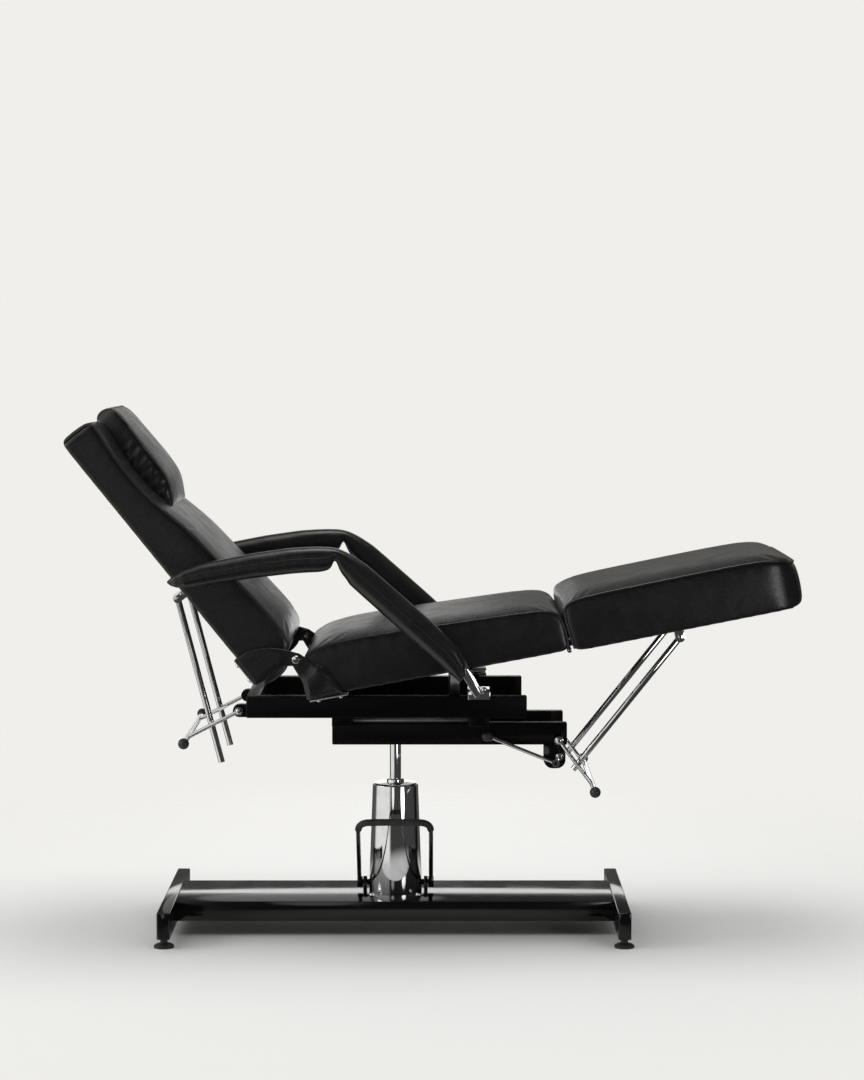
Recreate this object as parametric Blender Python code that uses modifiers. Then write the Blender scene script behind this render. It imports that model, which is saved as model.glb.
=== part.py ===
"""Podiatry chair: three padded sections on a swivelling hydraulic column.

X runs towards the foot end, Y across the chair and Z up from the floor. Lengths are metres and
angles are degrees. The rest position is the one in use: back raised, leg rest level with the seat.
"""
import math

import bmesh
import bpy
from mathutils import Matrix, Vector

# Placing and clearances
PUMP_X = -0.0934            # pump axis, measured from the middle of the chair's length
SEAT_GAP = 0.0003           # gap left between pieces that touch
PIN_GAP = 0.0004            # radial clearance of a pin in its hole

# Base
BASE_LENGTH = 1.10
FOOT_WIDTH = 0.60           # cross foot, measured across the chair
FOOT_TUBE = 0.030
FOOT_BOTTOM = 0.022
FOOT_TOP = 0.085
DECK_WIDTH = 0.284
DECK_TOP = 0.083
DECK_BOTTOM = 0.036
DECK_SHEET = 0.003
LEVEL_DISC_RADIUS = 0.0235
LEVEL_DISC_HEIGHT = 0.009
LEVEL_STEM_RADIUS = 0.005
LEVEL_STEM_REACH = 0.028    # thread inside the cross foot
LEVEL_INSET_Y = 0.025

# Pump and pedal
COVER_RADIUS_BOTTOM = 0.064
COVER_RADIUS_TOP = 0.0545
COVER_TOP = 0.347
COVER_WALL = 0.002
COLLAR_RADIUS = 0.021
COLLAR_HEIGHT = 0.010
PUMP_RADIUS = 0.045
RAM_RADIUS = 0.0135
RAM_BOTTOM = 0.200
RAM_BORE_BOTTOM = 0.118
PEDAL_Z = 0.105
PEDAL_SHAFT_RADIUS = 0.007
PEDAL_HUB_RADIUS = 0.013
PEDAL_LEG_X = 0.0855
PEDAL_ROD_RADIUS = 0.005
PEDAL_GRIP_RADIUS = 0.009
PEDAL_REACH = 0.205         # grip's distance in front of the shaft
PEDAL_GRIP_Z = 0.282
PEDAL_BEND = 0.030
BEARING_X = 0.0685          # inner face of a pedal bearing
BEARING_THICKNESS = 0.009
BEARING_WIDTH = 0.036

# Frames above the column
LOWER_X = (-0.148, 0.407)
LOWER_HALF_WIDTH = 0.130
LOWER_Z = (0.455, 0.507)
UPPER_X = (-0.345, 0.309)
UPPER_HALF_WIDTH = 0.225
UPPER_Z = (0.530, 0.581)
FRAME_TUBE = 0.030
FRAME_EDGE = 0.002
BEARER_X = (-0.122, 0.198)
BEARER_WIDTH = 0.048
MOUNT_PLATE = 0.006
MOUNT_HALF_WIDTH = 0.118
HUB_RADIUS = 0.034
HUB_ROOF = 0.006            # metal left above the ram's end

# Seat, leg rest and back, each with its own slanted frame
CUSHION_HALF_WIDTH = 0.287
BOARD_HALF_WIDTH = 0.272
BOARD_MARGIN = 0.015        # how far a board stays inside its cushion's ends
BOARD_CORNER = 0.045
SEAT_ORIGIN = (-0.200, 0.5813)
SEAT_TILT = 10.5
SEAT_LENGTH = 0.618
SEAT_DEPTH = 0.1195
SEAT_BOARD = 0.012
LEG_AHEAD = 0.0106          # from the seat's front end to the leg rest
LEG_DROP = 0.0049           # leg rest's underside below the seat's
LEG_TILT = 11.2
LEG_LENGTH = 0.5455
LEG_DEPTH = 0.124
LEG_BOARD = 0.012
BACK_HINGE = (-0.2256, 0.6745)
BACK_INCLINE = 51.1
BACK_LENGTH = 0.705
BACK_DEPTH = 0.116
BACK_BOARD = 0.015
BACK_REAR = -0.008          # rear of the back board, out of its frame's line
HINGE_BEYOND = 0.020        # hinge axis past the back's lower end
HINGE_ALONG = BACK_LENGTH + HINGE_BEYOND
HINGE_OUT = 0.099
PILLOW_LENGTH = 0.274
PILLOW_DEPTH = 0.132        # pillow's face, out of the back's line
PILLOW_HALF_WIDTH = 0.178
CROWN = 0.012               # how far a cushion rises at its middle
PILLOW_CROWN = 0.004
SIDE_EASE = 0.012           # rounding of a cushion's side seams
POCKET_LIP = 0.010
RISER_X = (0.128, 0.154)
RISER_REST = 0.020          # how far the riser reaches onto each rail
RISER_SHEET = 0.003

# Hinge ears at the sides
EAR_THICKNESS = 0.0055
EAR_RADIUS = 0.016
SEAT_EAR_Y = 0.2885         # inner face of the seat's ear
EAR_FLANGE = 0.003
EAR_FLANGE_Y = 0.230
HINGE_BOLT_RADIUS = 0.006
HINGE_BOLT_HEAD = 0.010
HINGE_BOLT_HEAD_DEPTH = 0.0025

# Leg hinge
LEG_HINGE_BELOW = 0.008     # pin under the seat's front end
LEG_KNUCKLE_RADIUS = 0.006
LEG_PIN_RADIUS = 0.003
LEG_LEAF = 0.004
LEG_LEAF_HALF_WIDTH = 0.200
LEG_KNUCKLE_SPLIT = 0.100

# Support rods and their release handles
ROD_RADIUS = 0.0075
ROD_LENGTH = 0.401
ROD_Y = 0.152
ROD_PIN_RADIUS = 0.004
BACK_ROD_TOP = (-0.509, 0.8045)
LEG_ROD_ALONG = 0.2513      # rod pins in the leg rest's own frame
LEG_ROD_BELOW = 0.0283
ROD_CROSSING = 0.0738       # where a rod passes a handle's arm, from the arm's pivot
CLEVIS_SHEET = 0.003
CLEVIS_GAP = 0.001          # side play of a rod in its clevis
CLEVIS_LENGTH = 0.034
CLEVIS_BASE = 0.052
CLEVIS_EDGE = 0.011         # metal beyond the pin
CLEVIS_PIN_END = 0.001
REAR_PIVOT = (-0.365, 0.540)
REAR_BAR = (-0.486, 0.478)
REAR_LOOP = (0.056, 0.122)  # loop's ends, measured along the arm from its pivot
FRONT_PIVOT = (0.386, 0.4705)
FRONT_BAR = (0.4655, 0.365)
FRONT_LOOP = (0.052, 0.094)
HANDLE_Y = 0.172
HANDLE_ARM_RADIUS = 0.0045
HANDLE_BAR_RADIUS = 0.006
HANDLE_BAR_HALF = 0.272
HANDLE_EYE_RADIUS = 0.010
HANDLE_EYE_HALF = 0.0048
HANDLE_PIN_RADIUS = 0.004
HANDLE_PIN_HEAD = 0.007
HANDLE_PIN_HEAD_DEPTH = 0.004
LOOP_WIRE_RADIUS = 0.003
LOOP_CLEARANCE = 0.005      # between a rod and the loop's inner run
BOSS_RADIUS = 0.011
LUG_THICKNESS = 0.024
LUG_RADIUS = 0.015
KNOB_RADIUS = 0.0135
KNOB_NECK_RADIUS = 0.008
KNOB_LENGTH = 0.028

# Swivel lock lever
LEVER_PIVOT = (0.380, 0.412)
LEVER_KNOB = (0.231, 0.4735)
LEVER_HUB_Y = 0.1375
LEVER_KNOB_Y = 0.152
LEVER_RADIUS = 0.0045
LEVER_HUB_RADIUS = 0.0095
LEVER_HUB_HALF = 0.0055
LEVER_BRACKET_RADIUS = 0.021
LEVER_BRACKET_X = (0.352, 0.404)
LEVER_BRACKET_Y = (0.102, 0.1285)
LEVER_PIN_RADIUS = 0.004

# Armrests
ARM_INNER_Y = 0.304
ARM_WIDTH = 0.058
ARM_BEND = (-0.118, 0.907)
ARM_FOOT = (0.155, 0.664)   # lower pivot, on its bracket
ARM_REAR = (-0.497, 0.862)  # stud on the back
ARM_KNUCKLE = 0.027
ARM_KNUCKLE_HOLLOW = 0.0275
ARM_BRACKET_FOOT_X = (0.171, 0.222)
ARM_BRACKET_Y = 0.2915      # inner face of the upright
ARM_BRACKET_SHEET = 0.005
ARM_BRACKET_RADIUS = 0.012
ARM_BRACKET_FOOT = 0.0195
ARM_PIN_RADIUS = 0.006
ARM_PIN_REACH = 0.018       # how far the pin goes into the arm
ARM_NOTCH_ANGLE = 26.0      # underside notch, from the upper arm's end face
STUD_RADIUS = 0.005
STUD_GAP = 0.0012           # keeps the stud clear of the arm's swollen side

SIDES = (("left", -1), ("right", 1))

FINISHES = {
    "leather": ((0.012, 0.012, 0.013), 0.38, 0.0),
    "paint": ((0.010, 0.010, 0.011), 0.16, 0.0),
    "chrome": ((0.86, 0.87, 0.88), 0.06, 1.0),
    "steel": ((0.55, 0.55, 0.56), 0.32, 1.0),
    "plastic": ((0.03, 0.03, 0.032), 0.35, 0.0),
    "rubber": ((0.02, 0.02, 0.02), 0.7, 0.0),
    "plywood": ((0.02, 0.02, 0.02), 0.7, 0.0),
}


class Slant:
    """A side-view frame on one padded section: along runs down its length, out leaves its face."""

    def __init__(self, origin, angle):
        self.origin = Vector((origin[0], 0.0, origin[1]))
        self.along = Vector((math.cos(math.radians(angle)), 0.0, math.sin(math.radians(angle))))
        self.out = Vector((-self.along.z, 0.0, self.along.x))

    def at(self, along, out, y=0.0):
        return self.origin + self.along * along + self.out * out + Vector((0.0, y, 0.0))

    def side(self, along, out):
        point = self.at(along, out)
        return point.x, point.z

    def flat(self, along, out, y=0.0):
        """Turns a box so that its X runs along the section and its Z out of it."""
        turn = Matrix((self.along, Vector((0, 1, 0)), self.out)).transposed()
        return Matrix.Translation(self.at(along, out, y)) @ turn.to_4x4()


def back_slant():
    incline = math.radians(BACK_INCLINE)
    x = BACK_HINGE[0] - HINGE_ALONG * math.cos(incline) - HINGE_OUT * math.sin(incline)
    z = BACK_HINGE[1] + HINGE_ALONG * math.sin(incline) - HINGE_OUT * math.cos(incline)
    return Slant((x, z), -BACK_INCLINE)


SEAT = Slant(SEAT_ORIGIN, SEAT_TILT)
LEG = Slant(SEAT.side(SEAT_LENGTH + LEG_AHEAD, -LEG_DROP), LEG_TILT)
LEG_HINGE = SEAT.side(SEAT_LENGTH, -LEG_HINGE_BELOW)
LEG_ROD_TOP = LEG.side(LEG_ROD_ALONG, -LEG_ROD_BELOW)
BACK = back_slant()

for leftover in list(bpy.data.objects):
    bpy.data.objects.remove(leftover, do_unlink=True)

PARTS = bpy.data.collections.new("podiatry_chair")
CUTTERS = bpy.data.collections.new("cutters")
bpy.context.scene.collection.children.link(PARTS)
bpy.context.scene.collection.children.link(CUTTERS)


# Basic solids

def new_object(name, mesh):
    piece = bpy.data.objects.new(name, mesh)
    PARTS.objects.link(piece)
    return piece


def from_bmesh(name, shape):
    bmesh.ops.recalc_face_normals(shape, faces=shape.faces)
    mesh = bpy.data.meshes.new(name)
    shape.to_mesh(mesh)
    shape.free()
    return new_object(name, mesh)


def from_curve(name, curve, matrix=None):
    """Makes a curve a closed mesh, with its caps welded on."""
    sketch = bpy.data.objects.new(name, curve)
    PARTS.objects.link(sketch)
    graph = bpy.context.evaluated_depsgraph_get()
    mesh = bpy.data.meshes.new_from_object(sketch.evaluated_get(graph))
    bpy.data.objects.remove(sketch)
    shape = bmesh.new()
    shape.from_mesh(mesh)
    bpy.data.meshes.remove(mesh)
    bmesh.ops.remove_doubles(shape, verts=shape.verts, dist=0.00001)
    if matrix:
        bmesh.ops.transform(shape, matrix=matrix, verts=shape.verts)
    return from_bmesh(name, shape)


def box(name, size, matrix, edge=0.0):
    shape = bmesh.new()
    bmesh.ops.create_cube(shape, size=1.0, matrix=matrix @ Matrix.Diagonal((*size, 1.0)))
    piece = from_bmesh(name, shape)
    if edge:
        rounding = piece.modifiers.new("edges", "BEVEL")
        rounding.width = edge
        rounding.segments = 2
    return piece


def block(name, low, high, edge=0.0):
    """An upright box between two corners."""
    low, high = Vector(low), Vector(high)
    return box(name, high - low, Matrix.Translation((low + high) / 2), edge)


def bar(name, start, end, radius, sides=16):
    start, end = Vector(start), Vector(end)
    run = end - start
    turn = Vector((0, 0, 1)).rotation_difference(run).to_matrix().to_4x4()
    shape = bmesh.new()
    bmesh.ops.create_cone(
        shape, cap_ends=True, segments=sides, radius1=radius, radius2=radius, depth=run.length,
        matrix=Matrix.Translation((start + end) / 2) @ turn)
    return from_bmesh(name, shape)


def pin(name, point, y_from, y_to, radius, sides=16):
    """A round bar across the chair, at a point of the side view."""
    return bar(name, (point[0], y_from, point[1]), (point[0], y_to, point[1]), radius, sides)


def turned(name, profile, matrix, steps=32, closed=False):
    """Turns a profile of radius and height about an axis, upright before the matrix."""
    mesh = bpy.data.meshes.new(name)
    edges = [(i, i + 1) for i in range(len(profile) - 1)]
    if closed:
        edges.append((len(profile) - 1, 0))
    mesh.from_pydata([(radius, 0.0, height) for radius, height in profile], edges, [])
    piece = new_object(name, mesh)
    piece.matrix_world = matrix
    screw = piece.modifiers.new("turn", "SCREW")
    screw.steps = steps
    screw.render_steps = steps
    screw.use_merge_vertices = True
    screw.merge_threshold = 0.00001
    return piece


def drawn(name, loops, thickness, matrix):
    """Extrudes a flat outline, with any further loops as holes, to both sides of its plane."""
    curve = bpy.data.curves.new(name, "CURVE")
    curve.dimensions = "2D"
    curve.fill_mode = "BOTH"
    curve.extrude = thickness / 2
    for loop in loops:
        spline = curve.splines.new("POLY")
        spline.points.add(len(loop) - 1)
        for point, (across, up) in zip(spline.points, loop):
            point.co = (across, up, 0.0, 1.0)
        spline.use_cyclic_u = True
    return from_curve(name, curve, matrix)


def side_plate(name, outline, y_from, y_to):
    """Extrudes a side-view outline across the chair."""
    turn = Matrix.Rotation(math.radians(90), 4, "X")
    middle = Matrix.Translation((0.0, (y_from + y_to) / 2, 0.0))
    return drawn(name, [outline], abs(y_to - y_from), middle @ turn)


def lengthways(name, outline, x_from, x_to):
    """Extrudes an outline of Y and Z along the chair."""
    turn = Matrix(((0, 0, 1, 0), (1, 0, 0, 0), (0, 1, 0, 0), (0, 0, 0, 1)))
    middle = Matrix.Translation(((x_from + x_to) / 2, 0.0, 0.0))
    return drawn(name, [outline], abs(x_to - x_from), middle @ turn)


def tube(name, points, radius, resolution=1):
    curve = bpy.data.curves.new(name, "CURVE")
    curve.dimensions = "3D"
    curve.bevel_depth = radius
    curve.bevel_resolution = resolution
    curve.use_fill_caps = True
    spline = curve.splines.new("POLY")
    spline.points.add(len(points) - 1)
    for point, place in zip(spline.points, points):
        point.co = (*place, 1.0)
    return from_curve(name, curve)


def arc(centre, radius, start, end, steps):
    turns = [math.radians(start + (end - start) * i / steps) for i in range(steps + 1)]
    return [(centre[0] + radius * math.cos(a), centre[1] + radius * math.sin(a)) for a in turns]


def rounded_path(points, radius, steps=4):
    """Rounds the inner corners of a path in space."""
    points = [Vector(point) for point in points]
    path = [points[0]]
    for before, corner, after in zip(points, points[1:], points[2:]):
        start = corner + (before - corner).normalized() * radius
        end = corner + (after - corner).normalized() * radius
        for i in range(steps + 1):
            t = i / steps
            path.append(start * (1 - t) ** 2 + corner * 2 * t * (1 - t) + end * t ** 2)
    path.append(points[-1])
    return path


# Joining, cutting and placing

def as_tool(tool, piece):
    """Keeps a solid only as the tool of another piece's modifier."""
    PARTS.objects.unlink(tool)
    CUTTERS.objects.link(tool)
    tool.hide_render = True
    tool.display_type = "WIRE"
    world = tool.matrix_world.copy()
    tool.parent = piece
    tool.matrix_parent_inverse = piece.matrix_world.inverted()
    tool.matrix_world = world


def combine(piece, operation, tools):
    bpy.context.view_layer.update()
    for tool in tools:
        modifier = piece.modifiers.new(tool.name, "BOOLEAN")
        modifier.operation = operation
        modifier.solver = "EXACT"
        modifier.object = tool
        as_tool(tool, piece)
    return piece


def unite(piece, *tools):
    return combine(piece, "UNION", tools)


def cut(piece, *tools):
    return combine(piece, "DIFFERENCE", tools)


JOINTS = {
    "base": (0.0, 0.0, 0.0),
    "pedal": (0.0, 0.0, PEDAL_Z),
    "ram": (0.0, 0.0, RAM_BOTTOM),
    "carriage": (0.0, 0.0, LOWER_Z[0]),
    "lever": (LEVER_PIVOT[0], -LEVER_HUB_Y, LEVER_PIVOT[1]),
    "back": (BACK_HINGE[0], 0.0, BACK_HINGE[1]),
    "back_rods": (BACK_ROD_TOP[0], 0.0, BACK_ROD_TOP[1]),
    "rear_handle": (REAR_PIVOT[0], 0.0, REAR_PIVOT[1]),
    "leg": (LEG_HINGE[0], 0.0, LEG_HINGE[1]),
    "leg_rods": (LEG_ROD_TOP[0], 0.0, LEG_ROD_TOP[1]),
    "front_handle": (FRONT_PIVOT[0], 0.0, FRONT_PIVOT[1]),
}
CARRIED_BY = {
    "pedal": "base", "ram": "base", "carriage": "ram", "lever": "carriage", "back": "carriage",
    "back_rods": "back", "rear_handle": "carriage", "leg": "carriage", "leg_rods": "leg",
    "front_handle": "carriage",
}
for side_name, side in SIDES:
    arm_y = side * (ARM_INNER_Y + ARM_WIDTH / 2)
    JOINTS["arm_lower_" + side_name] = (ARM_FOOT[0], arm_y, ARM_FOOT[1])
    JOINTS["arm_upper_" + side_name] = (ARM_BEND[0], arm_y, ARM_BEND[1])
    CARRIED_BY["arm_lower_" + side_name] = "carriage"
    CARRIED_BY["arm_upper_" + side_name] = "arm_lower_" + side_name
LEVEL_FEET = {}
for end_name, end in (("rear", -1), ("front", 1)):
    for side_name, side in SIDES:
        foot = "level_foot_" + end_name + "_" + side_name
        LEVEL_FEET[foot] = (
            end * (BASE_LENGTH - FOOT_TUBE) / 2, side * (FOOT_WIDTH / 2 - LEVEL_INSET_Y), 0.0)
        JOINTS[foot] = LEVEL_FEET[foot]
        CARRIED_BY[foot] = "base"


def make_pivots():
    """One empty on each joint's axis, under the empty of the body that carries it."""
    pivots = {}
    for body, place in JOINTS.items():
        pivot = bpy.data.objects.new("pivot_" + body, None)
        PARTS.objects.link(pivot)
        pivots[body] = pivot
        pivot.location = place
    bpy.context.view_layer.update()
    for body, carrier in CARRIED_BY.items():
        pivots[body].parent = pivots[carrier]
        pivots[body].matrix_parent_inverse = pivots[carrier].matrix_world.inverted()
    bpy.context.view_layer.update()
    return pivots


PIVOTS = make_pivots()


def place(piece, body, finish):
    """Puts a finished piece on its body and gives it a material of its own."""
    colour, roughness, metallic = FINISHES[finish]
    material = bpy.data.materials.new(piece.name + "_" + finish)
    material.use_nodes = True
    shader = material.node_tree.nodes["Principled BSDF"]
    shader.inputs["Base Color"].default_value = (*colour, 1.0)
    shader.inputs["Roughness"].default_value = roughness
    shader.inputs["Metallic"].default_value = metallic
    piece.data.materials.append(material)
    bpy.context.view_layer.update()
    world = piece.matrix_world.copy()
    piece.parent = PIVOTS[body]
    piece.matrix_parent_inverse = PIVOTS[body].matrix_world.inverted()
    piece.matrix_world = world
    piece.data.shade_smooth()
    piece.data.set_sharp_from_angle(angle=math.radians(35))
    return piece


# Soft forms

def drawn_in(outline, depth):
    """Moves a closed side-view outline inwards by a depth."""
    moved = []
    for i, point in enumerate(outline):
        before, after = Vector(outline[i - 1]), Vector(outline[(i + 1) % len(outline)])
        run = (after - before).normalized()
        moved.append(Vector(point) + Vector((-run.y, run.x)) * depth)
    return moved


def skin(name, rings, levels=1):
    """Skins closed rings into a cage, closes its ends and softens it."""
    shape = bmesh.new()
    loops = [[shape.verts.new(point) for point in ring] for ring in rings]
    count = len(loops[0])
    for first, second in zip(loops, loops[1:]):
        for i in range(count):
            j = (i + 1) % count
            shape.faces.new((first[i], first[j], second[j], second[i]))
    shape.faces.new(loops[0])
    shape.faces.new(reversed(loops[-1]))
    piece = from_bmesh(name, shape)
    soften = piece.modifiers.new("soften", "SUBSURF")
    soften.levels = levels
    soften.render_levels = levels
    return piece


def cushion(name, slant, outline, half_width, crown):
    """A boxed cushion: a side-view outline run across the chair, crowned on top and eased at its side seams.

    The outline runs forwards along the underside and back along the top.
    """
    low = min(out for along, out in outline)
    high = max(out for along, out in outline)
    stations = [(-1.0, SIDE_EASE, 0.0), (SIDE_EASE / half_width - 1.0, 0.0, 0.0), (-0.6, 0.0, 0.75)]
    stations += [(0.0, 0.0, 1.0)] + [(-across, inset, swell) for across, inset, swell in reversed(stations)]
    rings = []
    for across, inset, swell in stations:
        ring = []
        for along, out in drawn_in(outline, inset):
            out = max(out, low)
            lift = crown * swell * max(0.0, (out - low) / (high - low) - 0.5) * 2
            ring.append(slant.at(along, out + lift, across * half_width))
        rings.append(ring)
    return skin(name, rings)


def board_pocket(slant, start, end, low, thickness):
    """The room that a board takes in the underside of its cushion."""
    depth = thickness + SEAT_GAP + POCKET_LIP
    width = (BOARD_HALF_WIDTH + SEAT_GAP) * 2
    length = end - start + SEAT_GAP * 2
    return box("board_pocket", (length, width, depth),
               slant.flat((start + end) / 2, low + thickness + SEAT_GAP - depth / 2))


def pad(name, stations, side):
    """A padded arm: flattened round sections at points of the side view, each with its own slope."""
    rings = []
    middle = side * (ARM_INNER_Y + ARM_WIDTH / 2)
    for x, z, half, slope, narrow in stations:
        lean = Vector((-math.sin(math.radians(slope)), 0.0, math.cos(math.radians(slope))))
        ring = []
        for y_share, out_share in ((-1.04, 0.35), (-0.72, 1.06), (0.72, 1.06), (1.04, 0.35),
                                   (1.04, -0.62), (0.8, -1.05), (-0.8, -1.05), (-1.04, -0.62)):
            y = middle + y_share * ARM_WIDTH / 2 * narrow
            ring.append(Vector((x, y, z)) + lean * half * out_share)
        rings.append(ring)
    return skin(name, rings)


# Base

def build_base():
    inner_end = BASE_LENGTH / 2 - FOOT_TUBE - SEAT_GAP
    half = DECK_WIDTH / 2
    wall = half - DECK_SHEET
    roof = DECK_TOP - DECK_SHEET
    tray = [(-half, DECK_BOTTOM), (-half, DECK_TOP), (half, DECK_TOP), (half, DECK_BOTTOM),
            (wall, DECK_BOTTOM), (wall, roof), (-wall, roof), (-wall, DECK_BOTTOM)]
    deck = lengthways("base_deck", tray, -inner_end, inner_end)
    place(deck, "base", "paint")
    for end_name, end in (("rear", -1), ("front", 1)):
        middle = end * (BASE_LENGTH - FOOT_TUBE) / 2
        foot = block("cross_foot_" + end_name,
                     (middle - FOOT_TUBE / 2, -FOOT_WIDTH / 2, FOOT_BOTTOM),
                     (middle + FOOT_TUBE / 2, FOOT_WIDTH / 2, FOOT_TOP), FRAME_EDGE)
        holes = []
        for side_name, side in SIDES:
            y = side * (FOOT_WIDTH / 2 - LEVEL_INSET_Y)
            holes.append(bar("stem_hole", (middle, y, FOOT_BOTTOM - 0.01),
                             (middle, y, FOOT_BOTTOM + LEVEL_STEM_REACH + SEAT_GAP * 10),
                             LEVEL_STEM_RADIUS + PIN_GAP))
        place(cut(foot, *holes), "base", "paint")
    for name, spot in LEVEL_FEET.items():
        neck = LEVEL_STEM_RADIUS * 1.7
        stem_top = FOOT_BOTTOM + LEVEL_STEM_REACH
        shoulder = FOOT_BOTTOM - SEAT_GAP
        profile = [(0.0, stem_top), (LEVEL_STEM_RADIUS, stem_top),
                   (LEVEL_STEM_RADIUS, shoulder), (neck, shoulder),
                   (neck, LEVEL_DISC_HEIGHT + 0.003), (LEVEL_DISC_RADIUS * 0.8, LEVEL_DISC_HEIGHT),
                   (LEVEL_DISC_RADIUS, LEVEL_DISC_HEIGHT * 0.6), (LEVEL_DISC_RADIUS, 0.0), (0.0, 0.0)]
        place(turned(name, profile, Matrix.Translation(spot), 20), name, "plastic")


def build_pump():
    floor = DECK_TOP + SEAT_GAP
    bore = RAM_RADIUS + PIN_GAP
    top = COVER_TOP - COVER_WALL - SEAT_GAP
    body = turned("pump_body", [(0.0, RAM_BORE_BOTTOM), (bore, RAM_BORE_BOTTOM), (bore, top),
                                (PUMP_RADIUS, top), (PUMP_RADIUS, floor), (0.0, floor)],
                  Matrix.Identity(4), 24)
    reach = COVER_RADIUS_BOTTOM * 1.5
    shaft_hole = bar("shaft_hole", (-reach, 0, PEDAL_Z), (reach, 0, PEDAL_Z), PEDAL_SHAFT_RADIUS + PIN_GAP)
    place(cut(body, shaft_hole), "base", "steel")

    shoulder = COVER_TOP - COVER_WALL
    collar_top = COVER_TOP + COLLAR_HEIGHT
    outer = [(bore, collar_top), (COLLAR_RADIUS * 0.85, collar_top), (COLLAR_RADIUS, collar_top - 0.002),
             (COLLAR_RADIUS, COVER_TOP), (COVER_RADIUS_TOP - 0.004, COVER_TOP),
             (COVER_RADIUS_TOP, COVER_TOP - 0.004), (COVER_RADIUS_BOTTOM, floor)]
    inner = [(COVER_RADIUS_BOTTOM - COVER_WALL, floor), (COVER_RADIUS_TOP - COVER_WALL, shoulder - 0.003),
             (COVER_RADIUS_TOP - 0.006, shoulder), (bore, shoulder)]
    cover = turned("pump_cover", outer + inner, Matrix.Identity(4), 40, closed=True)
    slot_half = PEDAL_SHAFT_RADIUS + 0.002
    slot = block("shaft_slot", (-reach, -slot_half, floor - 0.01), (reach, slot_half, PEDAL_Z + slot_half))
    place(cut(cover, slot), "base", "chrome")

    ram_top = LOWER_Z[1] - HUB_ROOF
    edge = 0.0015
    ram = turned("ram", [(0.0, ram_top), (RAM_RADIUS - edge, ram_top), (RAM_RADIUS, ram_top - edge),
                         (RAM_RADIUS, RAM_BOTTOM), (0.0, RAM_BOTTOM)], Matrix.Identity(4), 24)
    place(ram, "ram", "chrome")


def pedal_path():
    """The bail from one hub, up over the grip and down to the other."""
    low = (0.0, PEDAL_Z)
    knee = (-PEDAL_REACH * 0.30, PEDAL_Z + 0.018)
    top = (-PEDAL_REACH, PEDAL_GRIP_Z)
    half = [(PEDAL_LEG_X, *low), (PEDAL_LEG_X, *knee), (PEDAL_LEG_X, *top)]
    mirrored = [(-x, y, z) for x, y, z in reversed(half)]
    return rounded_path(half + mirrored, PEDAL_BEND)


def build_pedal():
    hub_half = PEDAL_ROD_RADIUS + 0.0015
    shaft_half = PEDAL_LEG_X + hub_half
    frame = bar("pedal_frame", (-shaft_half, 0, PEDAL_Z), (shaft_half, 0, PEDAL_Z), PEDAL_SHAFT_RADIUS)
    path = pedal_path()
    hubs = [bar("pedal_hub", (x - hub_half, 0, PEDAL_Z), (x + hub_half, 0, PEDAL_Z), PEDAL_HUB_RADIUS, 20)
            for x in (-PEDAL_LEG_X, PEDAL_LEG_X)]
    bail = tube("pedal_bail", path, PEDAL_ROD_RADIUS, 1)
    place(unite(frame, *hubs, bail), "pedal", "chrome")

    covered = [point for point in path if point.z > PEDAL_GRIP_Z - PEDAL_BEND * 1.3]
    grip = tube("pedal_grip", covered, PEDAL_GRIP_RADIUS, 2)
    place(cut(grip, tube("grip_bore", path, PEDAL_ROD_RADIUS + PIN_GAP, 1)), "pedal", "rubber")

    floor = DECK_TOP + SEAT_GAP
    for side_name, side in SIDES:
        half = BEARING_WIDTH / 2
        outline = [(half, floor)] + arc((0.0, PEDAL_Z), half * 0.8, 0, 180, 8) + [(-half, floor)]
        outer = side * (BEARING_X + BEARING_THICKNESS)
        bearing = lengthways("pedal_bearing_" + side_name, outline, side * BEARING_X, outer)
        hole = bar("bearing_hole", (side * BEARING_X - 0.02, 0, PEDAL_Z),
                   (outer + 0.02, 0, PEDAL_Z), PEDAL_SHAFT_RADIUS + PIN_GAP)
        place(cut(bearing, hole), "base", "paint")


# Frames

def ring_frame(name, x_range, half_width, z_range):
    """A welded rectangle of square-cornered tube."""
    rear, front = x_range
    outer = [(rear, -half_width), (front, -half_width), (front, half_width), (rear, half_width)]
    clear = half_width - FRAME_TUBE
    rear_in, front_in = rear + FRAME_TUBE, front - FRAME_TUBE
    inner = [(rear_in, -clear), (rear_in, clear), (front_in, clear), (front_in, -clear)]
    middle = Matrix.Translation((0, 0, sum(z_range) / 2))
    frame = drawn(name, [outer, inner], z_range[1] - z_range[0], middle)
    rounding = frame.modifiers.new("edges", "BEVEL")
    rounding.width = FRAME_EDGE
    rounding.segments = 1
    return frame


def handle_pins(pivot, inner_y):
    """Pivot pins for a release handle, from the metal that carries them out to their heads."""
    pins = []
    outside = HANDLE_Y + HANDLE_EYE_HALF + PIN_GAP
    end = outside + HANDLE_PIN_HEAD_DEPTH
    for side_name, side in SIDES:
        pins.append(pin("handle_pin", pivot, side * inner_y, side * (end - 0.001), HANDLE_PIN_RADIUS, 12))
        pins.append(pin("handle_pin_head", pivot, side * outside, side * end, HANDLE_PIN_HEAD, 6))
    return pins


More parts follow.
